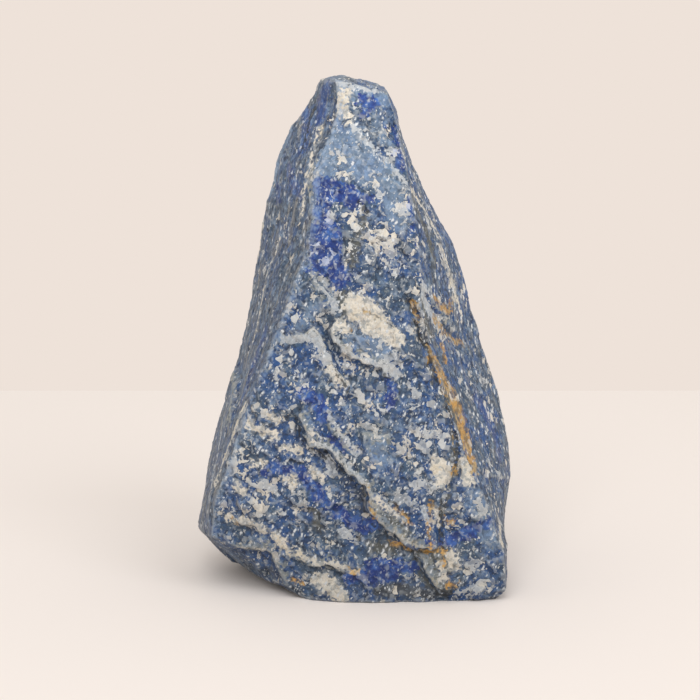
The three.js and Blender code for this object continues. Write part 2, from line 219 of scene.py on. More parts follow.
# Offsets that set the noises apart.
SEEDS = {"bend": 31, "finer_bend": 37, "chip": 11, "plate": 71, "plate_clouds": 83, "grit": 5, "cream": 97}
# Numbers that turn a cell of a lattice into one that looks random, and the salts that set apart
# what is drawn from one cell.
CELL_WAY = np.array((12.9898, 78.233, 37.719))
SALT_STEP = 93.989
SCATTER_GAIN = 43758.5453
SEED_SALTS = (1, 2, 3)
SLOPE_SALTS = (4, 5, 6)
STEP_SALT = 7
CHIP_SALTS = (8, 9, 10)

WELD = 1e-4
TRIANGLE_LIMIT = 196000
NEAR_ROUNDS = 6  # rounds of smoothing that fill small hollows
FAR_ROUNDS = 60  # and that fill wide ones

# ---------- where the colours lie, mm ----------

# Strokes of colour by kind: half width and then the line, drawn on a side as the ledges are.
FRONT_STROKES = {
    "deep_blue": [
        (2.1, (-7.3, 96), (-3.6, 95.2), (-0.4, 93.3)), (0.9, (1.7, 93.8), (4.1, 93.3)),
        (1.6, (-6.2, 93.3), (-7.7, 89.3), (-6.4, 84.7)), (3.6, (-6.6, 85.5), (-6.2, 79.6)),
        (2.5, (-5, 78), (-3.4, 75.8)), (0.9, (-10.3, 77.4), (-8, 77.3)),
        (1.0, (1.7, 115), (4.5, 114.6), (2.4, 112.4)), (1.2, (8.5, 107.7), (10.1, 103.7), (11.3, 99.6)),
        (0.8, (12.9, 92.4), (14, 88.4), (15.4, 83.5)), (1.4, (-11.5, 49.5), (-8, 48), (-7, 44.5)),
        (1.1, (-4.8, 39.1), (-2.9, 37.5)), (1.3, (-20, 30.5), (-18, 32), (-15, 31)),
        (1.3, (-12.5, 31.5), (-10.5, 28.5), (-8, 26)),
        (1.3, (-8, 25), (-5, 22.5), (-2, 20), (2.5, 18), (5.5, 19)),
        (1.3, (4.3, 9), (8.8, 8.8), (14.2, 8.6)), (1.5, (-0.9, 6), (1.7, 6.2), (4.9, 5.7), (8.8, 6.7)),
        (0.9, (13.3, 14.6), (19.8, 14.1)), (1.1, (22.4, 15.1), (27.7, 16.9)),
        (1.1, (29.3, 17.8), (31.2, 18.8)), (0.9, (7, 55), (9, 50), (8, 46)),
    ],
    "light": [
        (3.2, (-6.5, 108), (-5.6, 103), (-6.4, 99)), (3.4, (-1, 106), (1.5, 102), (6.5, 98)),
        (2.4, (9, 94), (10.5, 88)), (1.0, (4.6, 110.5), (7.4, 106)),
        (2.0, (-3, 117), (3, 116.4), (6.5, 115)), (2.3, (0.2, 62), (3.2, 61), (6.2, 58.8)),
        (1.6, (-28.5, 39), (-30, 34), (-31.5, 28.5)), (2.2, (5, 38.5), (6.5, 34)),
        (2.0, (27.5, 25), (30, 21), (31.5, 14)), (1.0, (-10, 68), (-12, 63.5)),
    ],
    "shade": [
        # Painted shade: below the main ledge, on the underside at the lower left, along the foot and
        # beside the upper groove.
        (1.0, (-8.7, 36.5), (-2.9, 30.9), (1.3, 25.3), (3.2, 21)),
        (1.4, (-29.9, 5.6), (-27.1, 4), (-23.1, 4.8), (-19.4, 5.8), (-16.6, 3.6), (-12.6, -0.4)),
        (1.1, (4.9, 2.6), (12.7, 3.4), (18.6, 1.6)), (1.2, (15, 65), (18, 60), (21, 55)),
    ],
    "dirt": [
        (2.3, (15.8, 10.6), (17.6, 7.2), (20.2, 3.4)), (1.4, (21.2, 12), (21.9, 8)),
        (0.7, (8, 14.2), (12.7, 12.2), (20, 12.2)), (0.8, (23.2, 36), (23, 31), (21.5, 26), (20, 20)),
        (1.3, (16.1, 60.8), (18.1, 58), (19.6, 54.5)), (1.6, (-2, 71), (-1.7, 68)),
        (0.9, (2.5, 89), (0.5, 84), (-0.5, 79)), (0.9, (-9.5, 22), (-8, 18)),
        (1.1, (5.2, 23), (8, 20.5), (12, 17.3)), (1.0, (15.3, 11), (20.5, 11.6)),
        (1.3, (6, 3), (12, 3.4), (17, 1.8)), (1.2, (3.8, 13.5), (9, 12.6)),
    ],
    "cream": [
        (1.3, (-2.1, 116.5), (-2.7, 114), (-1.8, 111.2)), (3.0, (0.6, 69), (3.1, 67.3), (5, 65.1)),
        (1.9, (6.7, 63.8), (9.7, 61.6)), (1.0, (-4.6, 64.1), (-3.2, 65.4), (-1.5, 64.1)),
        (1.2, (-5.1, 54.8), (-3.7, 53.2), (-2.1, 51.5)),
        (0.7, (-14.5, 12), (-11.5, 10.5), (-8, 9.5), (-3, 8.6), (0.5, 7.5)),
        (1.9, (-8.2, 4.9), (-5.2, 3.6), (-2.9, 1.7)), (0.8, (-29.5, 19), (-25, 18.5), (-21, 17)),
        (0.9, (-18.5, 15.5), (-16.5, 13.5)), (0.9, (-19, 44), (-17.5, 43)),
        (0.8, (-24, 41.5), (-21.5, 40.5), (-18, 39.5)), (0.8, (-16.5, 36.5), (-12.5, 36)),
        (0.6, (-23, 32.5), (-21, 32.5)), (0.9, (-15.5, 29), (-13.5, 28.5)), (0.9, (-9.5, 31), (-7.5, 30)),
        (0.8, (-27, 27), (-25, 25.5)), (1.9, (19.3, 32.4), (21, 31), (20.3, 28.6)),
        (1.8, (25.6, 32.2), (26.5, 28.8)), (1.3, (22.5, 11.6), (23.4, 9)), (0.9, (20, 9.5), (21, 6)),
        (0.7, (19, 22), (18.9, 18.5)), (0.5, (4.6, 25.6), (7.5, 23.2), (11.5, 19.8)),
        (0.3, (10.6, 108.5), (12.4, 99), (14, 91), (17, 85)),
    ],
    "ochre": [
        (0.6, (13.6, 68.8), (14.4, 65.6)),
        (0.7, (17.5, 58.4), (18.9, 55.7), (20.3, 52.2), (21.5, 48.8), (23.4, 43.4)),
        (0.4, (22.9, 32), (23.4, 29.6)), (0.4, (27.7, 32.8), (28.1, 29.5)),
        (0.3, (18, 24.5), (17.4, 19.5), (17.6, 13.5)), (0.4, (2.9, 27), (3.1, 23.7), (5.2, 20)),
        (0.45, (9.6, 22.9), (12.2, 20.6), (12.8, 19.2)),
        (0.35, (8.8, 14.4), (12.7, 12.6), (17.3, 12.4), (21.8, 12.9)), (0.4, (20.6, 11.6), (20.9, 8.6)),
        (0.6, (22, 4.5), (23.6, 4)), (0.4, (21, 20), (23, 18.5)), (0.5, (-1, 8), (0.5, 7.5)),
        (0.4, (-14.5, 5), (-12.5, 4)), (0.4, (-27.5, 18.7), (-27, 18.3)), (0.3, (2.6, 68.4), (3.2, 67.4)),
        (0.3, (-1.2, 64.4), (-0.4, 63.6)),
    ],
    "pale": [
        (1.2, (-22, 27), (-19.5, 27), (-17.5, 26)), (1.4, (-23.5, 24), (-22, 22.5)),
        (1.2, (-26.5, 21.5), (-25, 20.5)), (1.0, (-6, 34), (-5, 30.5)),
        (0.9, (-5, 17.5), (-2.5, 17), (0.5, 14.5)), (1.0, (14, 41), (16, 39.5), (16, 37)),
        (0.8, (17, 39.5), (22, 38.5)), (0.9, (11.5, 38.5), (11.5, 35.5)), (0.8, (13.5, 51.5), (14, 48)),
        (0.8, (6, 49), (8, 49)), (0.9, (6, 44.5), (8, 46)), (0.9, (2.5, 42), (5.5, 40.5)),
        (1.6, (10.5, 25), (13, 24.5)), (0.9, (10.5, 27.5), (18, 27.8)), (0.9, (3.5, 97), (6.5, 94.5)),
        (0.7, (7, 107.5), (8.5, 104.5)), (1.1, (10.8, 91), (11.2, 88)),
        (0.9, (6, 85.7), (8.7, 81.7), (9.6, 77.3)), (1.6, (-9.4, 82), (-7.6, 81.4), (-6.4, 79.4)),
        (0.8, (-5.5, 94.5), (-6.3, 90.5), (-5.5, 88.4)), (1.2, (26.1, 2.8), (30.4, 3.4)),
        (1.2, (25.7, 10.4), (28.4, 8.6)), (0.9, (28.5, 23.5), (30.5, 19.5)),
        (1.0, (7.6, 58), (9.5, 55.6)), (0.8, (15.4, 72.6), (17, 68.2), (18.3, 64.9)),
        (1.0, (5.4, 60.5), (8.5, 63.5)),
    ],
    "grey": [
        (1.0, (-16, 61.6), (-12.5, 61.8), (-9, 62.2)),
        (1.4, (-9.2, 62.4), (-7.2, 60.5), (-6, 57.5), (-4.2, 54.2)),
        (0.6, (-4.6, 62.6), (-3.8, 60.6), (-1.5, 58.7), (2.3, 57.3), (5.9, 56)),
        (1.0, (7.5, 55.6), (10, 53)), (1.1, (-7.6, 74.7), (-5.2, 71.6), (-4.1, 69)),
        (0.7, (16.2, 22.3), (17.2, 19.5)),
        (0.45, (-1.6, 111.4), (1.3, 107.5), (4.1, 104.8), (6.7, 102.3), (9.7, 98.8), (12.2, 95)),
        (0.9, (-5.5, 119), (0, 118.3), (5.5, 117)),
        (0.4, (-9, 38.4), (-5.5, 37), (-1.5, 33.1), (2.2, 29.1)),
        (0.5, (-6, 45), (-3.5, 41.5), (-1, 38), (1.5, 35.5)),
    ],
    "dark": [
        # Thin dark lines: cracks, and painted shadow along the feet of ledges, in the grooves, the pit and
        # the notch.
        (0.3, (12.9, 69.4), (13.9, 64.8), (15.7, 60.3), (17.5, 56.2), (19.2, 51.2), (21.2, 46.3)),
        (0.3, (21.4, 46), (23.3, 40.5), (24, 35.5), (23.6, 32)), (0.4, (1.6, 92.5), (3, 90.4)),
        (0.25, (-12.9, 43), (-11.3, 37.3), (-7.5, 35.7), (-3.6, 32.3), (1.4, 27.6), (2.8, 21.8)),
        (0.2, (4, 19), (8, 16), (13.4, 12.6)), (0.2, (-4.9, 56.4), (-3, 53.2), (-1.2, 50.6)),
        (0.3, (-2.4, 51.4), (-1.2, 50.2)), (0.25, (19.6, 24.8), (20.2, 18.1), (20.6, 13.1)),
        (0.3, (13.7, 12), (15.4, 8.9), (18.1, 4.8), (20.6, 1.3)), (0.8, (19.9, 2.4), (22.5, 2.6)),
        (0.25, (8.6, 24.6), (10.4, 22.8), (13, 20.6)), (0.3, (6.4, 54.9), (7.4, 53.6)),
    ],
}
RIGHT_STROKES = {
    "deep_blue": [
        (1.6, (-6, 44), (-3, 36), (-5, 30)),
    ],
    "dirt": [
        (1.0, (-11, 92), (-8.5, 84), (-8.4, 77)), (1.2, (-17.1, 70), (-17.8, 65.7), (-16.3, 61.5)),
        (1.3, (-19, 55), (-18.8, 49), (-19, 43), (-21, 38)),
    ],
    "cream": [
        (0.5, (-10.3, 94.4), (-3.7, 87.9), (-0.3, 82.1)), (0.5, (-1.6, 79), (0.6, 70.2), (1.3, 61.7)),
        (0.8, (-17.8, 17.6), (-22, 12.8)),
    ],
    "ochre": [
        (1.0, (-18, 56.5), (-17.4, 52), (-17, 48)),
        (1.9, (-17, 48), (-16.6, 44), (-17.6, 40), (-19.4, 36.5)), (1.5, (-20.5, 35), (-20.5, 31)),
        (0.7, (-12.4, 69.7), (-10, 66.9), (-6.8, 64.9), (-2.9, 66.7)),
        (0.7, (-12.5, 64.5), (-11.1, 62.2), (-8.5, 59.8), (-5.8, 58), (-2.6, 56.4)),
        (0.7, (-12.2, 58.2), (-13.8, 55)),
    ],
    "pale": [
        (1.2, (-3, 78), (1, 70)), (1.0, (-13, 30), (-10, 25)), (1.2, (-14, 14), (-8, 8)),
    ],
    "grey": [
        (1.4, (-16.7, 73.2), (-15.9, 69.5), (-13.5, 65.6), (-11.4, 62.2)),
    ],
}
BACK_STROKES = {
    "deep_blue": [
        (2.4, (-8, 70), (-4, 64), (0, 61)), (2.0, (10, 30), (15, 26), (16, 21)),
    ],
    "light": [
        (3.0, (-8, 100), (-6, 92)), (4.0, (-22, 32), (-14, 27), (-8, 30)), (3.5, (6, 60), (12, 53)),
        (4.5, (14, 12), (24, 9)), (3.0, (22, 44), (26, 36)),
    ],
    "shade": [
        # Painted shade below the main ledge.
        (2.2, (-10, 44), (2, 37), (16, 33)),
    ],
    "dirt": [
        (2.4, (0, 90), (3, 84)),
    ],
    "cream": [
        (2.2, (-10, 46), (-4, 43), (3, 39)), (1.6, (-2, 79), (1, 75), (6, 70)),
    ],
    "ochre": [
        (0.8, (8, 38), (14, 36), (19, 34)),
    ],
    "pale": [
        (2.6, (-16, 68), (-9, 62)), (3.0, (4, 30), (10, 25)), (2.4, (-26, 44), (-22, 36)),
        (2.8, (17, 60), (20, 52)), (2.6, (-10, 12), (-2, 8)), (2.2, (0, 100), (4, 92)),
    ],
}
LEFT_STROKES = {
    "deep_blue": [
        (1.5, (-3.5, 118), (-2.1, 114.5), (-3.8, 110.5)), (1.4, (3.6, 110.8), (-0.4, 107.8), (-2.4, 103)),
        (1.3, (1.2, 98), (-2.6, 95.3), (-7, 93)), (1.4, (6, 93), (2.9, 90.5)),
        (1.4, (-13, 62), (-14, 52), (-15, 45)),
    ],
    "light": [
        (2.0, (8, 105), (9.5, 99), (10.5, 92)),
    ],
    "cream": [
        (0.3, (-5.6, 109), (-6.7, 105), (-8.8, 99.3), (-8.1, 93.9), (-10, 88)),
        (0.3, (-1.8, 81.5), (-2.1, 69.5), (-6, 58)), (0.5, (-19, 46), (-18, 36), (-17, 26)),
        (1.1, (11.6, 83), (11.8, 76)),
    ],
    "pale": [
        (1.2, (-20, 44), (-20, 38), (-19, 34)),
    ],
    "grey": [
        (0.4, (0.1, 42.3), (-7.5, 31.9), (-17.1, 22.2)),
    ],
    "dark": [
        # A thin dark line, as on the front: a crack with painted shadow.
        (0.4, (0.7, 115.3), (-0.1, 109.4), (-2.8, 102.8)),
    ],
}
STROKES = {"front": FRONT_STROKES, "right": RIGHT_STROKES, "back": BACK_STROKES, "left": LEFT_STROKES}
PATCH_REACH = 3.0

# ---------- settings a user would change ----------


def tone(red, green, blue):
    """A screen colour from 0 to 255 as the linear colour that materials hold."""
    shares = [value / 255 for value in (red, green, blue)]
    return tuple(c / 12.92 if c <= 0.04045 else ((c + 0.055) / 1.055) ** 2.4 for c in shares)


def colour_setting(name, description, red, green, blue):
    return bpy.props.FloatVectorProperty(
        name=name, description=description, default=tone(red, green, blue),
        subtype="COLOR", size=3, min=0, max=1,
    )


def length_setting(name, description, millimetres):
    return bpy.props.FloatProperty(
        name=name, description=description, default=millimetres * MM,
        min=0, subtype="DISTANCE", unit="LENGTH", precision=5,
    )


def power_setting(name, description, watts):
    return bpy.props.FloatProperty(
        name=name, description=description, default=watts, min=0, subtype="POWER", unit="POWER",
    )


class StoneSettings(bpy.types.PropertyGroup):
    """Sizes and colours of the stone."""

    cell: length_setting("Cell", "Size of the cells that the surface is rebuilt from", 0.39)
    chipping: length_setting("Chipping", "How far the ledges wander from their drawn lines", 0.6)
    plate_rise: length_setting("Plate rise", "How far the pale plates stand out", 0.12)
    grit: length_setting("Grit", "Depth of the finest roughness of the mesh", 0.07)
    slate: colour_setting("Slate", "Greyer parts of the stone's body", 55, 78, 104)
    blue: colour_setting("Blue", "Bluer parts of the stone's body", 33, 72, 124)
    haze: colour_setting("Haze", "Cloudy lighter grains", 118, 137, 160)
    # Darkest grains, and also the painted shadow round each flake.
    shade: colour_setting("Shade", "Darkest grains", 24, 37, 61)
    deep: colour_setting("Deep blue", "Saturated patches", 16, 48, 118)
    plate: colour_setting("Plate", "Pale flakes", 197, 199, 199)
    speck: colour_setting("Speck", "Small white grains", 211, 215, 218)
    cream: colour_setting("Cream", "Cream masses and bands", 219, 212, 199)
    lip: colour_setting("Lip", "Grey worn border of the ledges", 126, 132, 132)
    light: colour_setting("Light blue", "Hazy light-blue areas", 122, 144, 170)
    dirt: colour_setting("Dirt", "Olive-grey dirty areas", 88, 88, 80)
    ochre: colour_setting("Ochre", "Iron-stained veins", 198, 152, 80)
    # The crack colour: the dark of real cracks, and also the painted shade in hollows, at the ledges' feet
    # and on the underside.
    crack_and_shade: colour_setting("Crevice", "Dirt in cracks and hollows", 27, 33, 40)
    drab: colour_setting("Drab", "Greyish cast of the left face", 78, 90, 108)


class StageSettings(bpy.types.PropertyGroup):
    """Floor, backdrop and lights."""

    floor: colour_setting("Floor", "Colour of the floor", 245, 237, 232)
    backdrop: colour_setting("Backdrop", "Colour of the backdrop", 238, 226, 217)
    key_power: power_setting("Key light", "Power of the soft light from the right", 4.4)
    fill_power: power_setting("Fill light", "Power of the broad light from above the camera", 11.4)
    air: bpy.props.FloatProperty(
        name="Room light", description="Strength of the light from all round", default=0.725, min=0,
    )


# ---------- numbers over many points ----------


def clamp01(values):
    return np.clip(values, 0.0, 1.0)


def step_between(low, high, values):
    share = clamp01((values - low) / (high - low))
    return share * share * (3 - 2 * share)


def cloud(points, size, name, octaves=3):
    """Soft noise, about -1 to 1, with lumps of about `size`."""
    places = (points / size + SEEDS[name]).tolist()
    return np.array([noise.fractal(place, 1.0, 2.0, octaves) for place in places])


def drift(points, size, name):
    """A smooth random direction at each point, each part about -1 to 1."""
    places = (points / size + SEEDS[name]).tolist()
    return np.array([noise.noise_vector(place) for place in places])


def nearest_on_line(line, a, b):
    """Distance to a line, side of it (1 is its left hand) and distance of the foot from its ends."""
    distance = np.full(a.shape, np.inf)
    hand = np.ones(a.shape)
    walked = np.zeros(a.shape)
    total = 0.0
    for (a0, b0), (a1, b1) in zip(line, line[1:]):
        da, db = a1 - a0, b1 - b0
        length = math.hypot(da, db)
        share = clamp01(((a - a0) * da + (b - b0) * db) / length**2)
        gap = np.hypot(a - a0 - share * da, b - b0 - share * db)
        closer = gap < distance
        turned = np.where(da * (b - b0) - db * (a - a0) < 0, -1.0, 1.0)
        distance = np.where(closer, gap, distance)
        hand = np.where(closer, turned, hand)
        walked = np.where(closer, total + share * length, walked)
        total += length
    return distance, hand, np.minimum(walked, total - walked)


def scatter(cells, salt):
    """A number from 0 to 1 for each cell of a lattice, always the same one."""
    mixed = np.sin(cells @ CELL_WAY + salt * SALT_STEP) * SCATTER_GAIN
    return mixed - np.floor(mixed)


def scattered(cells, salts):
    """Three such numbers for each cell."""
    return np.stack([scatter(cells, salt) for salt in salts], axis=1)


def nearest_seed(points, size, stretch=GRAIN_STRETCH):
    """Cell, offset and distance, in cells, of the seed nearest to each point; cells hold one each."""
    along = points @ GRAIN
    places = (points + np.outer(along / stretch - along, GRAIN)) / size
    cells = np.floor(places)
    best_cell = cells.copy()
    best_offset = np.zeros(points.shape)
    distance = np.full(len(points), np.inf)
    for shift in itertools.product((-1, 0, 1), repeat=3):
        home = cells + shift
        offset = places - (home + scattered(home, SEED_SALTS))
        gap = np.linalg.norm(offset, axis=1)
        closer = gap < distance
        distance[closer] = gap[closer]
        best_cell[closer] = home[closer]
        best_offset[closer] = offset[closer]
    return best_cell, best_offset, distance


def curved(points, size, reach):
    """The points moved about smoothly, so that straight borders drawn over them come out curved."""
    wide = drift(points, size, "bend") * reach
    return points + wide + drift(points, size / FINER, "finer_bend") * reach / FINER


def chipped(points, size, reach):
    """A shift that is the same over each small shard, so that what is drawn looks broken there."""
    cell, _, _ = nearest_seed(points, size, CHIP_STRETCH)
    jump = scattered(cell, CHIP_SALTS) - 0.5
    drift_size, drift_reach = CHIP_DRIFT
    return jump * 2 * reach + drift(points, size * drift_size, "chip") * reach * drift_reach


def shard_relief(points, size, step, tilt):
    """Height of flat shards, each set in or out by up to `step` and tilted."""
    cell, offset, _ = nearest_seed(points, size)
    slope = scattered(cell, SLOPE_SALTS) - 0.5
    tilted = (offset * slope).sum(axis=1) * 2 * tilt * size
    return (scatter(cell, STEP_SALT) - 0.5) * 2 * step + tilted


# ---------- relief of the sides ----------


def belonging(normals, side):
    """How much each point belongs to a side, from 0 to 1."""
    out, _ = SIDES[side]
    return clamp01((normals @ np.array(out, float) - SIDE_FROM) / SIDE_RUN)


def on_plane(points, wander, normals, side):
    """The points that a side holds, how much it holds each, and where they lie on its plane."""
    share = belonging(normals, side)
    held = share > 0
    _, level = SIDES[side]
    a, b = (points[held, axis] + wander[held, axis] for axis in (level, 2))
    return held, share[held], a, b


def ledge_bands(points, wander, normals):
    """How far each point lies on a ledge's worn lip and in the shadowed line at its foot, 0 to 1."""
    lip, foot = np.zeros(len(points)), np.zeros(len(points))
    for side, ledges in LEDGES.items():
        held, held_share, a, b = on_plane(points, wander, normals, side)
        for height, _, line in ledges:
            distance, hand, to_end = nearest_on_line(line, a, b)
            share = held_share * clamp01(height / FULL_HEIGHT) * clamp01(to_end / LEDGE_END)
            lip[held] = np.maximum(lip[held], share * clamp01(1 - distance / LIP_WIDTH) * (hand > 0))
            foot[held] = np.maximum(foot[held], share * clamp01(1 - distance / FOOT_WIDTH) * (hand < 0))
    return lip, foot


def ledge_relief(height, run, line, a, b):
    distance, hand, to_end = nearest_on_line(line, a, b)
    fade = clamp01(1 - distance / run) * clamp01(to_end / LEDGE_END)
    raised = clamp01(0.5 + hand * distance / LEDGE_LIP)
    gutter = np.exp(-(((distance - GUTTER_AT) / GUTTER_WIDTH) ** 2)) * (hand < 0)
    return fade * (height * (raised - 1 + RAISED_SHARE) - GUTTER_DEPTH * gutter)


def groove_relief(depth, half_width, line, a, b):
    distance, _, _ = nearest_on_line(line, a, b)
    return -depth * clamp01(1 - distance / half_width)


def shoulder_relief(x, z):
    distance, hand, _ = nearest_on_line(SHOULDER_LINE, x, z)
    fade = clamp01((SHOULDER_TOP - z) / SHOULDER_TOP_RUN)
    return np.where(hand > 0, 0.0, -fade * np.minimum(SHOULDER_DEPTH, SHOULDER_SLOPE * distance))


def notch_relief(x, z):
    distance = np.hypot(x - NOTCH_AT[0], z - NOTCH_AT[1])
    return -NOTCH_DEPTH * clamp01(1 - distance / NOTCH_RADIUS)


def drawn_relief(side, a, b):
    """The relief that is drawn on a side, outwards, at places on its plane."""
    relief = sum(ledge_relief(*ledge, a, b) for ledge in LEDGES[side])
    if side == "front":
        relief += shoulder_relief(a, b) + notch_relief(a, b)
        for groove in GROOVES:
            relief += groove_relief(*groove, a, b)
    return relief


# ---------- the mesh ----------


def stations(lengths, cell):
    """Even steps along a row of stretches: the stretch that each lies in, and how far through it."""
    counts = np.ceil(lengths / cell).astype(int)
    return [(stretch, step / count) for stretch, count in enumerate(counts) for step in range(count)]


def skin_places(cell):
    """The plain skin as rows and columns of points, from the base up and once round."""
    edges = np.array(LONG_EDGES, float)
    following = np.roll(edges, -1, axis=0)
    columns = stations(np.linalg.norm(following - edges, axis=2).mean(axis=1), cell)
    ring_gaps = np.linalg.norm(np.diff(edges, axis=1), axis=2).mean(axis=0)
    rows = stations(ring_gaps, cell) + [(len(ring_gaps) - 1, 1.0)]
    face = np.array([column[0] for column in columns])
    share = np.array([column[1] for column in columns])[:, None]
    arch = 4 * share * (1 - share) * np.array(FACE_BULGES)[face][:, None]
    places = []
    for ring, climb in rows:
        start = edges[face, ring] * (1 - climb) + edges[face, ring + 1] * climb
        end = following[face, ring] * (1 - climb) + following[face, ring + 1] * climb
        width = end - start
        outward = np.stack([width[:, 1], -width[:, 0], np.zeros(len(face))], axis=1)
        places.append(start + width * share + outward * arch)
    return np.array(places)


def closed_skin(cell):
    """A grid wrapped into the plain skin and closed at both ends, in millimetres."""
    places = skin_places(cell)
    rows, columns = places.shape[:2]
    shape = bmesh.new()
    bmesh.ops.create_grid(shape, x_segments=columns, y_segments=rows - 1, size=1.0)
    for vertex in shape.verts:
        column = round((vertex.co.x + 1) / 2 * columns) % columns
        row = round((vertex.co.y + 1) / 2 * (rows - 1))
        vertex.co = places[row, column]
    bmesh.ops.remove_doubles(shape, verts=shape.verts, dist=WELD)
    rims = [edge for edge in shape.edges if edge.is_boundary]
    caps = bmesh.ops.holes_fill(shape, edges=rims, sides=0)["faces"]
    top = [face for face in caps if face.calc_center_median().z > TOP_CENTRE[2] / 2]
    for vertex in bmesh.ops.poke(shape, faces=top)["verts"]:
        vertex.co = TOP_CENTRE
    bmesh.ops.recalc_face_normals(shape, faces=shape.faces)
    mesh = bpy.data.meshes.new(STONE_PIECE)
    shape.to_mesh(mesh)
    shape.free()
    return mesh


def places_of(mesh):
    values = np.zeros(len(mesh.vertices) * 3)
    mesh.vertices.foreach_get("co", values)
    return values.reshape(-1, 3)


def normals_of(mesh):
    values = np.zeros(len(mesh.vertices) * 3, np.float32)
    mesh.vertex_normals.foreach_get("vector", values)
    return values.reshape(-1, 3).astype(float)


def place(mesh, points):
    mesh.vertices.foreach_set("co", points.ravel())
    mesh.update()


def neighbour_mean(mesh):
    """A function that gives each vertex the mean of its neighbours' values."""
    pairs = np.zeros(len(mesh.edges) * 2, np.int64)
    mesh.edges.foreach_get("vertices", pairs)
    first, second = pairs.reshape(-1, 2).T
    size = len(mesh.vertices)
    count = np.bincount(first, minlength=size) + np.bincount(second, minlength=size)

    def mean(points):
        sums = [
            np.bincount(first, points[second, axis], size)
            + np.bincount(second, points[first, axis], size)
            for axis in range(3)
        ]
        return np.stack(sums, axis=1) / count[:, None]

    return mean


def relaxed(points, mean, rounds):
    for _ in range(rounds):
        points = points * 0.5 + mean(points) * 0.5
    return points


def along_normals(normals, relief):
    """The relief as a move along the normals, calmer on the two side faces."""
    sides = belonging(normals, "left") + belonging(normals, "right")
    return normals * (relief * (1 - SIDE_CALM * sides))[:, None]


def carve(mesh, chipping):
    """Cuts the ledges, grooves and large shards into the plain skin."""
    points, normals = places_of(mesh), normals_of(mesh)
    wander = chipped(points, CHIP_SIZE, chipping)
    bent = curved(points, *COARSE_BEND)
    move = along_normals(normals, sum(shard_relief(bent, *shard) for shard in COARSE_SHARDS))
    for side, (out, _) in SIDES.items():
        held, share, a, b = on_plane(points, wander, normals, side)
        move[held] += np.outer(share * drawn_relief(side, a, b), out)
    move[:, 2] *= clamp01(points[:, 2] / CALM_BASE)
    place(mesh, points + move)


def rebuilt(mesh, modifier, **settings):
    """The mesh after one modifier."""
    carrier = bpy.data.objects.new("stone_work", mesh)
    bpy.context.scene.collection.objects.link(carrier)
    step = carrier.modifiers.new(modifier.title(), modifier)
    for name, value in settings.items():
        setattr(step, name, value)
    view = bpy.context.evaluated_depsgraph_get()
    made = bpy.data.meshes.new_from_object(carrier.evaluated_get(view))
    bpy.data.objects.remove(carrier)
    bpy.data.meshes.remove(mesh)
    return made


def patch_value(kind, points, wander, normals):
    """How far inside the nearest stroke of a kind each point lies, mm; negative is outside."""
    value = np.full(len(points), -PATCH_REACH)
    for side, strokes in STROKES.items():
        held, share, a, b = on_plane(points, wander, normals, side)
        inside = np.full(a.shape, -PATCH_REACH)
        for half_width, *line in strokes.get(kind, ()):
            distance, _, _ = nearest_on_line(line, a, b)
            inside = np.maximum(inside, half_width - distance)
        value[held] = np.maximum(value[held], inside * share - PATCH_REACH * (1 - share))
    return value


def plate_value(points, pale):
    """How far inside a pale plate each point lies: plates are what round scallops leave between."""
    size, reach = PLATE_BEND
    bent = points + drift(points, size, "plate") * reach
    _, _, distance = nearest_seed(bent, PLATE_SIZE, PLATE_STRETCH)
    richness = cloud(points, PLATE_CLOUDS, "plate_clouds", 2)
    edge = PLATE_EDGE - CLOUDS_GAIN * richness - PALE_GAIN * step_between(*PALE_SLOPE, pale)
    return (distance - edge) * PLATE_SIZE


def line_distance(points, line):
    """Distance to a line in space."""
    distance = np.full(len(points), np.inf)
    for start, end in zip(np.array(line, float), np.array(line[1:], float)):
        way = end - start
        share = clamp01((points - start) @ way / (way @ way))
        gap = np.linalg.norm(points - start - np.outer(share, way), axis=1)
        distance = np.minimum(distance, gap)
    return distance


def roughen(mesh, chipping, grit, plate_rise):
    """Adds the fine relief and returns the values that the finish reads, by name."""
    points, normals = places_of(mesh), normals_of(mesh)
    lip, foot = ledge_bands(points, chipped(points, CHIP_SIZE, chipping), normals)
    ridge = line_distance(points, FRONT_LEFT)
    wander = chipped(points, *STROKE_CHIP)
    patches = {kind: patch_value(kind, points, wander, normals) for kind in FRONT_STROKES}
    plates = plate_value(points, patches["pale"])
    creamy = step_between(*CREAM_SLOPE, patches["cream"])
    bent = curved(points, *FINE_BEND)
    relief = sum(shard_relief(bent, *shard) for shard in FINE_SHARDS)
    relief += cloud(points, GRIT_SIZE, "grit") * grit
    relief += step_between(*PLATE_SLOPE, plates) * plate_rise
    relief += creamy * (CREAM_RISE + CREAM_GRAIN * cloud(points, CREAM_GRAIN_SIZE, "cream"))
    relief -= step_between(*VEIN_SLOPE, patches["ochre"]) * VEIN_SINK
    move = along_normals(normals, relief)
    move[:, 2] *= clamp01(points[:, 2] / CALM_FOOT)
    moved = points + move
    moved[:, 2] = np.maximum(moved[:, 2], 0.0)
    place(mesh, moved)
    return {**patches, "plates": plates, "lip": lip, "foot": foot, "ridge": ridge}


def store(mesh, name, values):
    layer = mesh.attributes.new(name, "FLOAT", "POINT")
    layer.data.foreach_set("value", np.ascontiguousarray(values, np.float32))


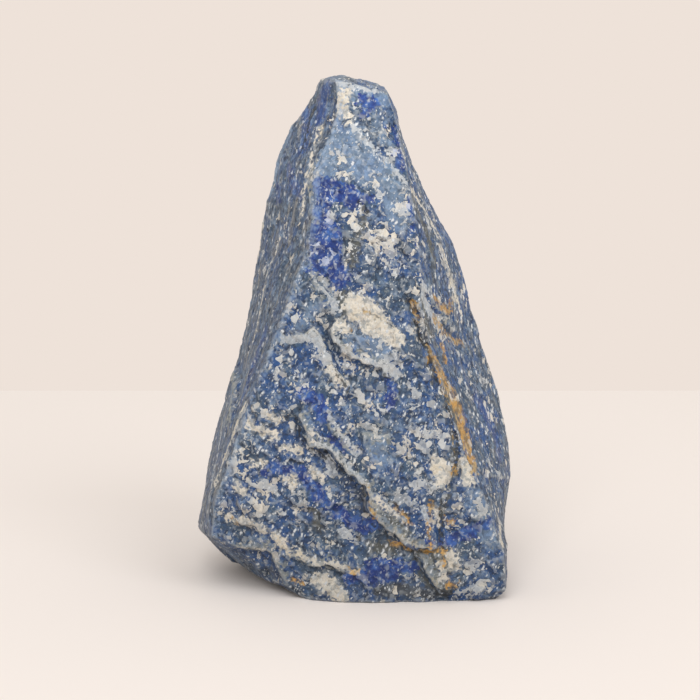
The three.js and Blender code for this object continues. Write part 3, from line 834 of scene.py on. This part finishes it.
def stone_mesh(settings):
    """The finished mesh of the stone, in metres, with the values that its finish reads."""
    noise.seed_set(NOISE_SEED)
    cell = settings.cell / MM
    mesh = closed_skin(cell)
    carve(mesh, settings.chipping / MM)
    mesh = rebuilt(mesh, "REMESH", mode="VOXEL", voxel_size=cell, use_smooth_shade=True)
    place(mesh, relaxed(places_of(mesh), neighbour_mean(mesh), 1))
    values = roughen(mesh, settings.chipping / MM, settings.grit / MM, settings.plate_rise / MM)
    for name, value in values.items():
        store(mesh, name, value)
    triangles = sum(len(face.vertices) - 2 for face in mesh.polygons)
    if triangles > TRIANGLE_LIMIT:
        mesh = rebuilt(mesh, "DECIMATE", ratio=TRIANGLE_LIMIT / triangles)
    points, normals, mean = places_of(mesh), normals_of(mesh), neighbour_mean(mesh)
    near = relaxed(points, mean, NEAR_ROUNDS)
    far = relaxed(near, mean, FAR_ROUNDS)
    # How sunken each point lies, over a short and a wide reach, and how far it faces down: the finish
    # paints shade by these.
    store(mesh, "hollow", ((near - points) * normals).sum(axis=1))
    store(mesh, "valley", ((far - points) * normals).sum(axis=1))
    store(mesh, "under", -normals[:, 2])
    for side in ("left", "right"):
        store(mesh, side + "_face", belonging(normals, side))
    place(mesh, points * MM)
    mesh.polygons.foreach_set("use_smooth", np.ones(len(mesh.polygons), bool))
    mesh.name = STONE_PIECE
    return mesh


# ---------- the finish ----------

# Sizes of the patterns, mm.
BEND_SIZES = (1.6, 0.5)
BEND_REACHES = (1.1, 0.28)
COARSE_SIZE = 1.2
SCALE_SIZE = 1.5
JAG_SIZE = 0.9
RICH_SIZE = 5.0
WARM_SIZE = 5.0
GAP_SIZE = 2.4

# Rougher noises: size in mm, detail, roughness and bend.
CLOUD_NOISE = (7.0, 3.0, 0.55, 0.6)
MIDDLE_NOISE = (2.2, 3.0, 0.55, 0.4)
FINE_NOISE = (0.5, 3.0, 0.6)
STREAK_NOISE = (1.8, 3.0, 0.6)
VEIN_NOISE = (1.6, 3.0, 0.6)

# Scales of patterns along x, y and z: the smaller the number, the longer the pattern, except that
# the slanted grains are longer where theirs is larger.
STREAK_SCALE = (1, 1, 0.16)
VEIN_SCALE = (1, 0.7, 0.45)
UPRIGHT_SCALE = (1, 0.5, 0.55)
SLANTED_SCALE = (0.85, 1, 1.5)
SLANT = (0, 0.45, 0)

# How strokes spread: where the colour begins and where it is full, in mm inside the border, its
# share there, and how jagged the border is.
SPREADS = {
    "deep_blue": (-0.4, 0.1, 1.0, 1.2), "light": (-1.2, 0.8, 0.62, 1.6), "shade": (-0.8, 0.8, 0.7, 1.6),
    "dirt": (-0.9, 0.9, 0.85, 1.6), "cream": (-0.05, 0.12, 1.0, 1.6), "ochre": (-0.5, 0.4, 1.0, 1.6),
    "grey": (-0.15, 0.15, 0.8, 1.1), "dark": (-0.25, 0.15, 0.8, 0.8),
}
CREAM_RIM = (-0.8, 0.1, 0.5, 1.6)
LIP_JAG = 0.9
RIDGE_JAG = 4.0

# Where a look changes: from and to which value of its pattern, and from and to what share, which
# are 0 and 1 where none are given.
RANGES = {
    "blue": (0.40, 0.58), "streaks": (0.5, 0.66, 0.0, 0.75), "haze": (0.47, 0.70, 0.0, 0.75),
    "shade": (0.50, 0.34, 0.0, 0.7), "deep_light": (0.42, 0.66), "scale_tone": (0.0, 1.0, 0.82, 1.2),
    "lip": (0.22, 0.42, 0.0, 0.85), "lip_rim": (0.6, 0.8), "lip_haze": (0.44, 0.62, 0.0, 0.6),
    "band": (0.42, 0.6), "rich": (0.36, 0.66), "rich_pale": (-1.6, 0.6, 0.0, 0.8),
    "poor_light": (-0.5, 1.5, 0.0, 0.45), "rich_way": (0.0, 80.0, -0.2, 0.1),
    "shard_flake": (0.0, 0.02, -0.2, 0.05), "flake": (-0.01, 0.03), "flake_shadow": (-0.14, 0.0, 0.0, 0.2),
    "flake_haze": (0.03, 0.25, 0.0, 0.3), "flake_solid": (0.1, 0.7, 0.5, 0.95),
    "flake_height": (-0.04, 0.10), "warm": (0.5, 0.66), "cream_tone": (0.36, 0.5),
    "cream_solid": (0.62, 0.5, 0.55, 0.95), "dot": (0.0, 0.1, 0.0, 0.8), "grain": (0.0, 0.06),
    "grain_halo": (-0.25, 0.05, 0.0, 0.3), "ridge": (0.0, 2.4, 0.5, 0.0),
    "tips": (-0.04, -0.14, 0.0, 0.35), "top": (-0.55, -0.85, 0.0, 0.25), "vein": (0.42, 0.56),
    "vein_pale": (0.5, 0.6, 0.0, 0.8), "vein_flake": (-0.05, 0.1, 0.0, 0.5),
    "vein_gaps": (0.36, 0.5, 0.25, 0.92), "roughness": (0.3, 0.7, 0.40, 0.62),
}

# Least and most brightness that the finest noise gives to each look, over this range of the noise.
GRAINED = {
    "body": (0.86, 1.14), "lip": (0.86, 1.12), "band": (0.9, 1.08), "flake": (0.92, 1.06),
    "cream": (0.88, 1.1), "vein": (0.84, 1.12),
}
FINE_RANGE = (0.3, 0.7)

# How much of a look the side faces have, or lack, and what the deep-blue patches lack.
LEFT_DRAB = 0.4
RIGHT_STREAKS = 0.7
RIGHT_CALM = 0.4
SIDES_LACK_DEEP = 0.5
SIDES_LACK_DOTS = 0.7
LEFT_LACKS_GRAINS = 0.35
DEEP_LACKS_GRAINS = 0.55
DEEP_LACKS_FLAKES = 0.1

# Flakes by size: size of the scallops between them, how far apart they lie in plain parts and how
# much closer in rich ones.
FLAKES = [(2.5, 1.02, 0.18), (1.6, 0.93, 0.21), (0.95, 0.93, 0.17)]
RICHER_WAY = (0.45, 0.0, 0.9)  # flakes lie closer this way
CALM_LOSS = 0.7  # how much poorer calm places are
SHARD_GAIN = 0.17
FLAKE_START = -0.2
FLAKE_PLATES = 0.5  # share of the mesh's plates in the flakes
FLAKE_JAG = 0.6

# White grains: how far apart, their largest radius as a share of that, and how many are missing.
FRONT_GRAINS = (1.15, 0.30, 0.22)
SIDE_GRAINS = (0.95, 0.32, 0.1)
DOTS = (0.58, 0.42, 0.55)
GRAIN_JAG = 0.5

# Where painted shade lies, in the hollows, at the feet of the ledges and on the underside: value of the
# mesh, where the shade begins, where it is full, and its share there.
HOLLOW_SHADE = [
    ("hollow", 0.06, 0.2, 0.42), ("valley", 0.3, 1.2, 0.45),
    ("foot", 0.1, 0.8, 0.28), ("under", 0.4, 0.8, 0.3),
]

# Painted shade and light by height: from and to which height it changes, mm, and from and to what share.
FOOT_SHADE = (0.0, 42.0, 0.79, 1.0)
TOP_LIGHT = (70.0, 108.0, 1.0, 1.2)
# Painted light on the right face, as a share of brightness.
RIGHT_LIGHT = 0.07

SPECULAR = 0.45
BUMP_STRENGTH = 0.7
BUMP_DEPTH = 0.3 * MM
# Shares of the patterns in the bump.
BUMP_FLAKE = 0.5
BUMP_FINE = 0.25
BUMP_COARSE = 0.5
BUMP_SPECK = 0.15
BUMP_JAG = -0.5

# Colour of the painted shade below the ledges and on the underside.
SHADE_SLATE = tone(46, 56, 72)
BEIGE = tone(214, 203, 182)
BROWN = tone(136, 112, 74)
STREAK_TAN = tone(132, 130, 126)
DEEP_LIGHT = tone(56, 94, 160)
LAVENDER = tone(186, 194, 214)
SMOOTH_GREY = tone(176, 184, 192)
LIP_RIM = tone(184, 178, 160)
RIDGE_BLUE = tone(146, 166, 192)
TIP_GREY = tone(178, 182, 184)
CREAM_SHADE = tone(164, 166, 164)
OCHRE_PALE = tone(190, 166, 122)


class Recipe:
    """Adds nodes to a material or world; a number, a colour or a socket may feed any input."""

    def __init__(self, owner):
        owner.use_nodes = True
        self.owner = owner
        self.tree = owner.node_tree
        self.tree.nodes.clear()

    def node(self, kind, inputs=(), **settings):
        made = self.tree.nodes.new(kind)
        for name, value in settings.items():
            setattr(made, name, value)
        for name, value in dict(inputs).items():
            socket = made.inputs[name]
            if isinstance(value, bpy.types.NodeSocket):
                self.tree.links.new(value, socket)
            elif socket.type == "RGBA" and len(value) == 3:
                socket.default_value = (*value, 1.0)
            else:
                socket.default_value = value
        return made

    def attribute(self, name):
        return self.node("ShaderNodeAttribute", attribute_name=name).outputs["Fac"]

    def noise(self, place, size, detail=2.0, rough=0.5, bend=0.0, output="Fac"):
        inputs = {
            "Vector": place, "Scale": 1 / size, "Detail": detail, "Roughness": rough, "Distortion": bend,
        }
        return self.node("ShaderNodeTexNoise", inputs).outputs[output]

    def seeds(self, place, size):
        return self.node("ShaderNodeTexVoronoi", {"Vector": place, "Scale": 1 / size}).outputs

    def math(self, operation, a, b=0.0, c=0.0):
        return self.node("ShaderNodeMath", {0: a, 1: b, 2: c}, operation=operation).outputs[0]

    def product(self, a, b):
        return self.math("MULTIPLY", a, b)

    def less(self, a, b):
        return self.math("SUBTRACT", a, b)

    def total(self, value, *parts):
        """The value plus each of the parts times its share."""
        for part, share in parts:
            value = self.math("MULTIPLY_ADD", part, share, value)
        return value

    def largest(self, value, *others):
        for other in others:
            value = self.math("MAXIMUM", value, other)
        return value

    def without(self, share, taken):
        """The share that is left where another, `taken`, has its part."""
        return self.product(share, self.less(1.0, taken))

    def ramp(self, value, low, high, start=0.0, end=1.0):
        """`start` up to `low`, `end` from `high` on, and a smooth way between."""
        inputs = {"Value": value, "From Min": low, "From Max": high, "To Min": start, "To Max": end}
        return self.node("ShaderNodeMapRange", inputs, interpolation_type="SMOOTHSTEP").outputs[0]

    def mix(self, share, a, b):
        return self.node("ShaderNodeMix", {0: share, 6: a, 7: b}, data_type="RGBA").outputs[2]

    def over(self, colour, *layers):
        """The colour under layers of others, each a share and a colour."""
        for share, layer in layers:
            colour = self.mix(share, colour, layer)
        return colour

    def channel(self, colour, which):
        return self.node("ShaderNodeSeparateColor", {0: colour}).outputs[which]

    def vector(self, operation, inputs, output=0):
        return self.node("ShaderNodeVectorMath", inputs, operation=operation).outputs[output]

    def scaled(self, colour, share):
        return self.vector("SCALE", {0: colour, "Scale": share})

    def shift(self, place, amount, size):
        """The place moved about by noise, by up to about half of `amount`."""
        centred = self.vector("SUBTRACT", {0: self.noise(place, size, output="Color"), 1: (0.5,) * 3})
        return self.vector("MULTIPLY_ADD", {0: centred, 1: (amount,) * 3, 2: place})

    def stretched(self, place, scale, turn=(0, 0, 0), **settings):
        inputs = {"Vector": place, "Rotation": turn, "Scale": scale}
        return self.node("ShaderNodeMapping", inputs, **settings).outputs[0]


class StoneFinish(Recipe):
    """Mottled blue quartz: a clouded body under pale flakes, cream, white grains, painted shade and
    stains.
    """

    def __init__(self, look):
        super().__init__(bpy.data.materials.new("mottled blue quartz"))
        self.look = look
        metres = self.node("ShaderNodeTexCoord").outputs["Object"]
        self.place = self.stretched(metres, (1 / MM,) * 3)
        self.bent = self.place
        for reach, size in zip(BEND_REACHES, BEND_SIZES):
            self.bent = self.shift(self.bent, reach, size)
        self.middle = self.noise(self.place, *MIDDLE_NOISE)
        self.coarse = self.noise(self.bent, COARSE_SIZE)
        self.fine = self.noise(self.place, *FINE_NOISE)
        self.scales = self.seeds(self.bent, SCALE_SIZE)["Color"]
        self.jag = self.less(self.seeds(self.bent, JAG_SIZE)["Distance"], 0.5)
        self.left = self.attribute("left_face")
        self.right = self.attribute("right_face")
        self.sides = self.largest(self.left, self.right)

    def stroke(self, kind, spread=None):
        """The share of a stroke of colour, whose edge is broken into small pointed scallops."""
        low, high, most, jags = spread or SPREADS[kind]
        value = self.total(self.attribute(kind), (self.jag, jags))
        return self.ramp(value, low, high, 0.0, most)

    def eased(self, name, value):
        """The share of a look where its pattern has this value."""
        return self.ramp(value, *RANGES[name])

    def grained(self, name, colour):
        """The colour of a look with its brightness varied by the finest noise."""
        return self.scaled(colour, self.ramp(self.fine, *FINE_RANGE, *GRAINED[name]))

    def body(self, deep, dirty):
        """Slate and blue clouds with hazy and dark grains, tinted by the broad strokes; the shade strokes
        are painted shade.
        """
        look = self.look
        broad = self.noise(self.place, *CLOUD_NOISE)
        upright = self.stretched(self.place, STREAK_SCALE)
        streaks = self.eased("streaks", self.noise(upright, *STREAK_NOISE))
        streaky = self.largest(self.left, self.product(self.right, RIGHT_STREAKS))
        colour = self.over(
            look.slate,
            (self.eased("blue", broad), look.blue),
            (self.product(self.left, LEFT_DRAB), look.drab),
            (self.product(streaks, streaky), STREAK_TAN),
            (self.eased("haze", self.middle), look.haze),
            (self.eased("shade", self.coarse), look.shade),
            (self.stroke("light"), look.light),
            (dirty, look.dirt),
            (self.stroke("shade"), SHADE_SLATE),
            (deep, self.mix(self.eased("deep_light", self.middle), look.deep, DEEP_LIGHT)),
        )
        colour = self.scaled(colour, self.eased("scale_tone", self.channel(self.scales, 0)))
        return self.grained("body", colour)

    def lips(self, colour):
        """Grey worn lips of the ledges, pale at the rim, and smooth pale grey bands."""
        value = self.total(self.attribute("lip"), (self.jag, LIP_JAG))
        worn = self.over(
            self.look.lip,
            (self.eased("lip_rim", value), LIP_RIM),
            (self.eased("lip_haze", self.middle), self.look.haze),
        )
        band = self.mix(self.eased("band", self.coarse), SMOOTH_GREY, self.look.plate)
        return self.over(
            colour,
            (self.eased("lip", value), self.grained("lip", worn)),
            (self.stroke("grey"), self.grained("band", band)),
        )

    def flakes(self, deep, dirty):
        """How far inside the nearest pale flake a point lies; negative is outside."""
        calm = self.largest(deep, dirty, self.left, self.product(self.right, RIGHT_CALM))
        across = self.vector("DOT_PRODUCT", {0: self.place, 1: RICHER_WAY}, "Value")
        richness = self.total(
            self.eased("rich", self.noise(self.place, RICH_SIZE)),
            (self.eased("rich_pale", self.attribute("pale")), 1.0),
            (self.eased("poor_light", self.attribute("light")), -1.0),
            (calm, -CALM_LOSS),
            (self.eased("rich_way", across), 1.0),
        )
        value = self.total(
            FLAKE_START,
            (self.attribute("plates"), FLAKE_PLATES), (self.jag, FLAKE_JAG), (deep, -DEEP_LACKS_FLAKES),
        )
        rare = self.total(1.0, (richness, -SHARD_GAIN))
        shard = self.less(self.channel(self.scales, 2), rare)
        value = self.largest(value, self.eased("shard_flake", shard))
        for size, edge, gain in FLAKES:
            limit = self.total(edge, (richness, -gain))
            value = self.largest(value, self.less(self.seeds(self.bent, size)["Distance"], limit))
        return value

    def flaked(self, colour, flake, deep, warm):
        """Pale flakes, each with a thin rim of painted shadow."""
        solid = self.eased("flake_solid", self.channel(self.scales, 1))
        pale = self.over(
            self.look.plate,
            (warm, self.look.cream),
            (self.eased("flake_haze", flake), self.look.haze),
            (deep, LAVENDER),
        )
        return self.over(
            colour,
            (self.eased("flake_shadow", flake), self.look.shade),
            (self.product(self.eased("flake", flake), solid), self.grained("flake", pale)),
        )

    def creamed(self, colour, warm):
        """Grainy cream masses and bands, each with a greyish rim."""
        cream = self.mix(warm, self.look.cream, BEIGE)
        cream = self.mix(self.eased("cream_tone", self.coarse), CREAM_SHADE, cream)
        solid = self.eased("cream_solid", self.middle)
        return self.over(
            colour,
            (self.stroke("cream", CREAM_RIM), CREAM_SHADE),
            (self.product(self.stroke("cream"), solid), self.grained("cream", cream)),
        )

    def grains(self, place, size, radius, none):
        """How far inside a small round grain a point lies; `none` is the share of places without."""
        seeds = self.seeds(place, size)
        reach = self.ramp(self.channel(seeds["Color"], 0), none, 1.0, 0.0, radius)
        reach = self.total(reach, (self.less(self.fine, 0.5), GRAIN_JAG))
        return self.less(reach, seeds["Distance"])

    def specks(self, deep):
        """Share of the small white grains, which are upright on the two side faces."""
        upright = self.stretched(self.bent, UPRIGHT_SCALE)
        slanted = self.stretched(self.bent, SLANTED_SCALE, SLANT, vector_type="TEXTURE")
        front = self.grains(slanted, *FRONT_GRAINS)
        side = self.grains(upright, *SIDE_GRAINS)
        value = self.total(front, (self.sides, self.less(side, front)))
        dot = self.eased("dot", self.grains(slanted, *DOTS))
        grain = self.largest(
            self.eased("grain", value),
            self.eased("grain_halo", value),
            self.without(dot, self.product(self.sides, SIDES_LACK_DOTS)),
        )
        lacking = self.largest(
            self.product(deep, DEEP_LACKS_GRAINS), self.product(self.left, LEFT_LACKS_GRAINS),
        )
        return self.without(grain, lacking)

    def worn(self, colour):
        """Pale blue long edge on the left, pale tips and a pale top."""
        ridge = self.total(self.attribute("ridge"), (self.jag, RIDGE_JAG))
        ridge = self.without(self.eased("ridge", ridge), self.left)
        tips = self.eased("tips", self.attribute("hollow"))
        top = self.eased("top", self.attribute("under"))
        return self.over(colour, (ridge, RIDGE_BLUE), (self.largest(tips, top), TIP_GREY))

    def shaded_hollows(self, colour):
        """Painted shade in the hollows and cracks, at the feet of the ledges and under the stone."""
        shares = [self.ramp(self.attribute(name), low, high, 0.0, most) for name, low, high, most in HOLLOW_SHADE]
        return self.mix(self.largest(*shares), colour, self.look.crack_and_shade)

    def lit_and_shaded(self, colour):
        """Painted shade and light: the colour darker towards the foot, and lighter towards the top and on
        the right face.
        """
        up = self.node("ShaderNodeSeparateXYZ", {0: self.place}).outputs[2]
        for span in (FOOT_SHADE, TOP_LIGHT):
            colour = self.scaled(colour, self.ramp(up, *span))
        return self.scaled(colour, self.total(1.0, (self.right, RIGHT_LIGHT)))

    def stained(self, colour, flake):
        """Streaky ochre veins, and over all else thin dark lines: cracks, and painted shadow at the feet
        of ledges and in the grooves.
        """
        tall = self.stretched(self.bent, VEIN_SCALE)
        stain = self.over(
            BROWN,
            (self.eased("vein", self.noise(tall, *VEIN_NOISE)), self.look.ochre),
            (self.eased("vein_pale", self.coarse), OCHRE_PALE),
            (self.eased("vein_flake", flake), self.look.plate),
        )
        gaps = self.eased("vein_gaps", self.noise(self.place, GAP_SIZE))
        return self.over(
            colour,
            (self.product(self.stroke("ochre"), gaps), self.grained("vein", stain)),
            (self.stroke("dark"), self.look.crack_and_shade),
        )

    def build(self):
        deep = self.without(self.stroke("deep_blue"), self.product(self.sides, SIDES_LACK_DEEP))
        dirty = self.stroke("dirt")
        flake = self.flakes(deep, dirty)
        speck = self.specks(deep)
        warm = self.eased("warm", self.noise(self.place, WARM_SIZE))
        colour = self.lips(self.body(deep, dirty))
        colour = self.creamed(self.flaked(colour, flake, deep, warm), warm)
        colour = self.shaded_hollows(self.worn(self.mix(speck, colour, self.look.speck)))
        colour = self.stained(self.lit_and_shaded(colour), flake)
        height = self.total(
            self.product(self.eased("flake_height", flake), BUMP_FLAKE),
            (self.fine, BUMP_FINE), (self.coarse, BUMP_COARSE), (speck, BUMP_SPECK), (self.jag, BUMP_JAG),
        )
        bump = self.node("ShaderNodeBump", {
            "Height": height, "Strength": BUMP_STRENGTH, "Distance": BUMP_DEPTH,
        })
        shader = self.node("ShaderNodeBsdfPrincipled", {
            "Base Color": colour, "Roughness": self.eased("roughness", self.middle),
            "Specular IOR Level": SPECULAR, "Normal": bump.outputs[0],
        })
        self.node("ShaderNodeOutputMaterial", {"Surface": shader.outputs[0]})
        return self.owner


# ---------- the stage ----------

# The camera: its picture is this many pixels wide, and its focal length and the rise of the
# horizon over the picture's middle are in the same pixels.
PICTURE_WIDTH = 700
FOCAL_LENGTH = 2400
HORIZON_RISE = 493
SENSOR_WIDTH = 36
CAMERA_AT = (-0.0009, -0.5605, 0.1697)
NEAREST_SEEN = 0.01
FARTHEST_SEEN = 20

FLOOR_SIZE = 6.0
FLOOR_END = 0.2
ROOM_COLOUR = (1.0, 0.955, 0.9)
LAMP_COLOUR = (0.96, 0.98, 1.0)
KEY_AT = (0.75, -0.85, 1.0)
KEY_SIZE = 0.8
FILL_AT = (-0.3, -1.3, 1.5)
FILL_SIZE = 1.2
MATT_ROUGHNESS = 0.9
MATT_SPECULAR = 0.1


def matt(name, colour):
    recipe = Recipe(bpy.data.materials.new(name))
    shader = recipe.node("ShaderNodeBsdfPrincipled", {
        "Base Color": tuple(colour), "Roughness": MATT_ROUGHNESS, "Specular IOR Level": MATT_SPECULAR,
    })
    recipe.node("ShaderNodeOutputMaterial", {"Surface": shader.outputs[0]})
    return recipe.owner


def in_scene(name, data, at):
    """A new object at a place, in the scene."""
    made = bpy.data.objects.new(name, data)
    made.location = at
    bpy.context.scene.collection.objects.link(made)
    return made


def make_floor(settings):
    """A flat square whose far edge lies behind the stone, where the backdrop begins."""
    shape = bmesh.new()
    bmesh.ops.create_grid(shape, x_segments=1, y_segments=1, size=FLOOR_SIZE / 2)
    mesh = bpy.data.meshes.new("studio_floor")
    shape.to_mesh(mesh)
    shape.free()
    mesh.materials.append(matt("pale floor", settings.floor))
    floor = in_scene("studio_floor", mesh, (0, FLOOR_END - FLOOR_SIZE / 2, 0))


def make_lamp(name, at, size, power):
    """A soft round light that points at the foot of the stone."""
    light = bpy.data.lights.new(name, "AREA")
    light.shape = "DISK"
    light.size = size
    light.energy = power
    light.color = LAMP_COLOUR
    lamp = in_scene(name, light, at)
    lamp.rotation_euler = (-Vector(at)).to_track_quat("-Z", "Y").to_euler()


def make_room(settings):
    """Even light from all round, with a plain backdrop in its place for the camera alone."""
    room = Recipe(bpy.data.worlds.new("studio"))
    light = room.node("ShaderNodeBackground", {"Color": ROOM_COLOUR, "Strength": settings.air})
    backdrop = room.node("ShaderNodeBackground", {"Color": settings.backdrop})
    seen = room.node("ShaderNodeLightPath").outputs["Is Camera Ray"]
    both = room.node("ShaderNodeMixShader", {0: seen, 1: light.outputs[0], 2: backdrop.outputs[0]})
    room.node("ShaderNodeOutputWorld", {"Surface": both.outputs[0]})
    bpy.context.scene.world = room.owner


def make_camera():
    data = bpy.data.cameras.new("camera")
    data.lens = FOCAL_LENGTH / PICTURE_WIDTH * SENSOR_WIDTH
    data.sensor_width = SENSOR_WIDTH
    data.clip_start = NEAREST_SEEN
    data.clip_end = FARTHEST_SEEN
    camera = in_scene("camera", data, CAMERA_AT)
    camera.rotation_euler = (math.pi / 2 - math.atan(HORIZON_RISE / FOCAL_LENGTH), 0, 0)
    bpy.context.scene.camera = camera


# ---------- operators, panel and running order ----------


class QUARTZ_OT_stone(bpy.types.Operator):
    """Model the stone's broken surface and give it its mottled finish"""

    bl_idname = "quartz.stone"
    bl_label = "Quartz Stone"

    def execute(self, context):
        settings = context.scene.quartz_stone
        mesh = stone_mesh(settings)
        mesh.materials.clear()
        mesh.materials.append(StoneFinish(settings).build())
        stone = bpy.data.objects.new(STONE_PIECE, mesh)
        context.scene.collection.objects.link(stone)
        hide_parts(STONE_NODE)
        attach(stone, "root")
        return {"FINISHED"}


class QUARTZ_OT_stage(bpy.types.Operator):
    """Lay the pale floor and set up the soft lights and the camera"""

    bl_idname = "quartz.stage"
    bl_label = "Studio Stage"

    def execute(self, context):
        settings = context.scene.quartz_stage
        make_floor(settings)
        make_lamp("key_light", KEY_AT, KEY_SIZE, settings.key_power)
        make_lamp("fill_light", FILL_AT, FILL_SIZE, settings.fill_power)
        make_room(settings)
        make_camera()
        context.scene.view_settings.view_transform = "Standard"
        return {"FINISHED"}


class QUARTZ_PT_panel(bpy.types.Panel):
    """The stone's and the stage's settings and operators"""

    bl_label = "Quartz Specimen"
    bl_idname = "QUARTZ_PT_panel"
    bl_space_type = "VIEW_3D"
    bl_region_type = "UI"
    bl_category = "Quartz"

    def draw(self, context):
        for settings, operator in (("quartz_stone", "quartz.stone"), ("quartz_stage", "quartz.stage")):
            group = getattr(context.scene, settings)
            column = self.layout.column()
            for name in group.__annotations__:
                column.prop(group, name)
            column.operator(operator)


CLASSES = (StoneSettings, StageSettings, QUARTZ_OT_stone, QUARTZ_OT_stage, QUARTZ_PT_panel)


def register():
    for kind in CLASSES:
        bpy.utils.register_class(kind)
    bpy.types.Scene.quartz_stone = bpy.props.PointerProperty(type=StoneSettings)
    bpy.types.Scene.quartz_stage = bpy.props.PointerProperty(type=StageSettings)


def unregister():
    del bpy.types.Scene.quartz_stone
    del bpy.types.Scene.quartz_stage
    for kind in reversed(CLASSES):
        bpy.utils.unregister_class(kind)


def main():
    register()
    bpy.ops.quartz.stage()
    bpy.ops.quartz.stone()


if __name__ == "__main__":
    main()
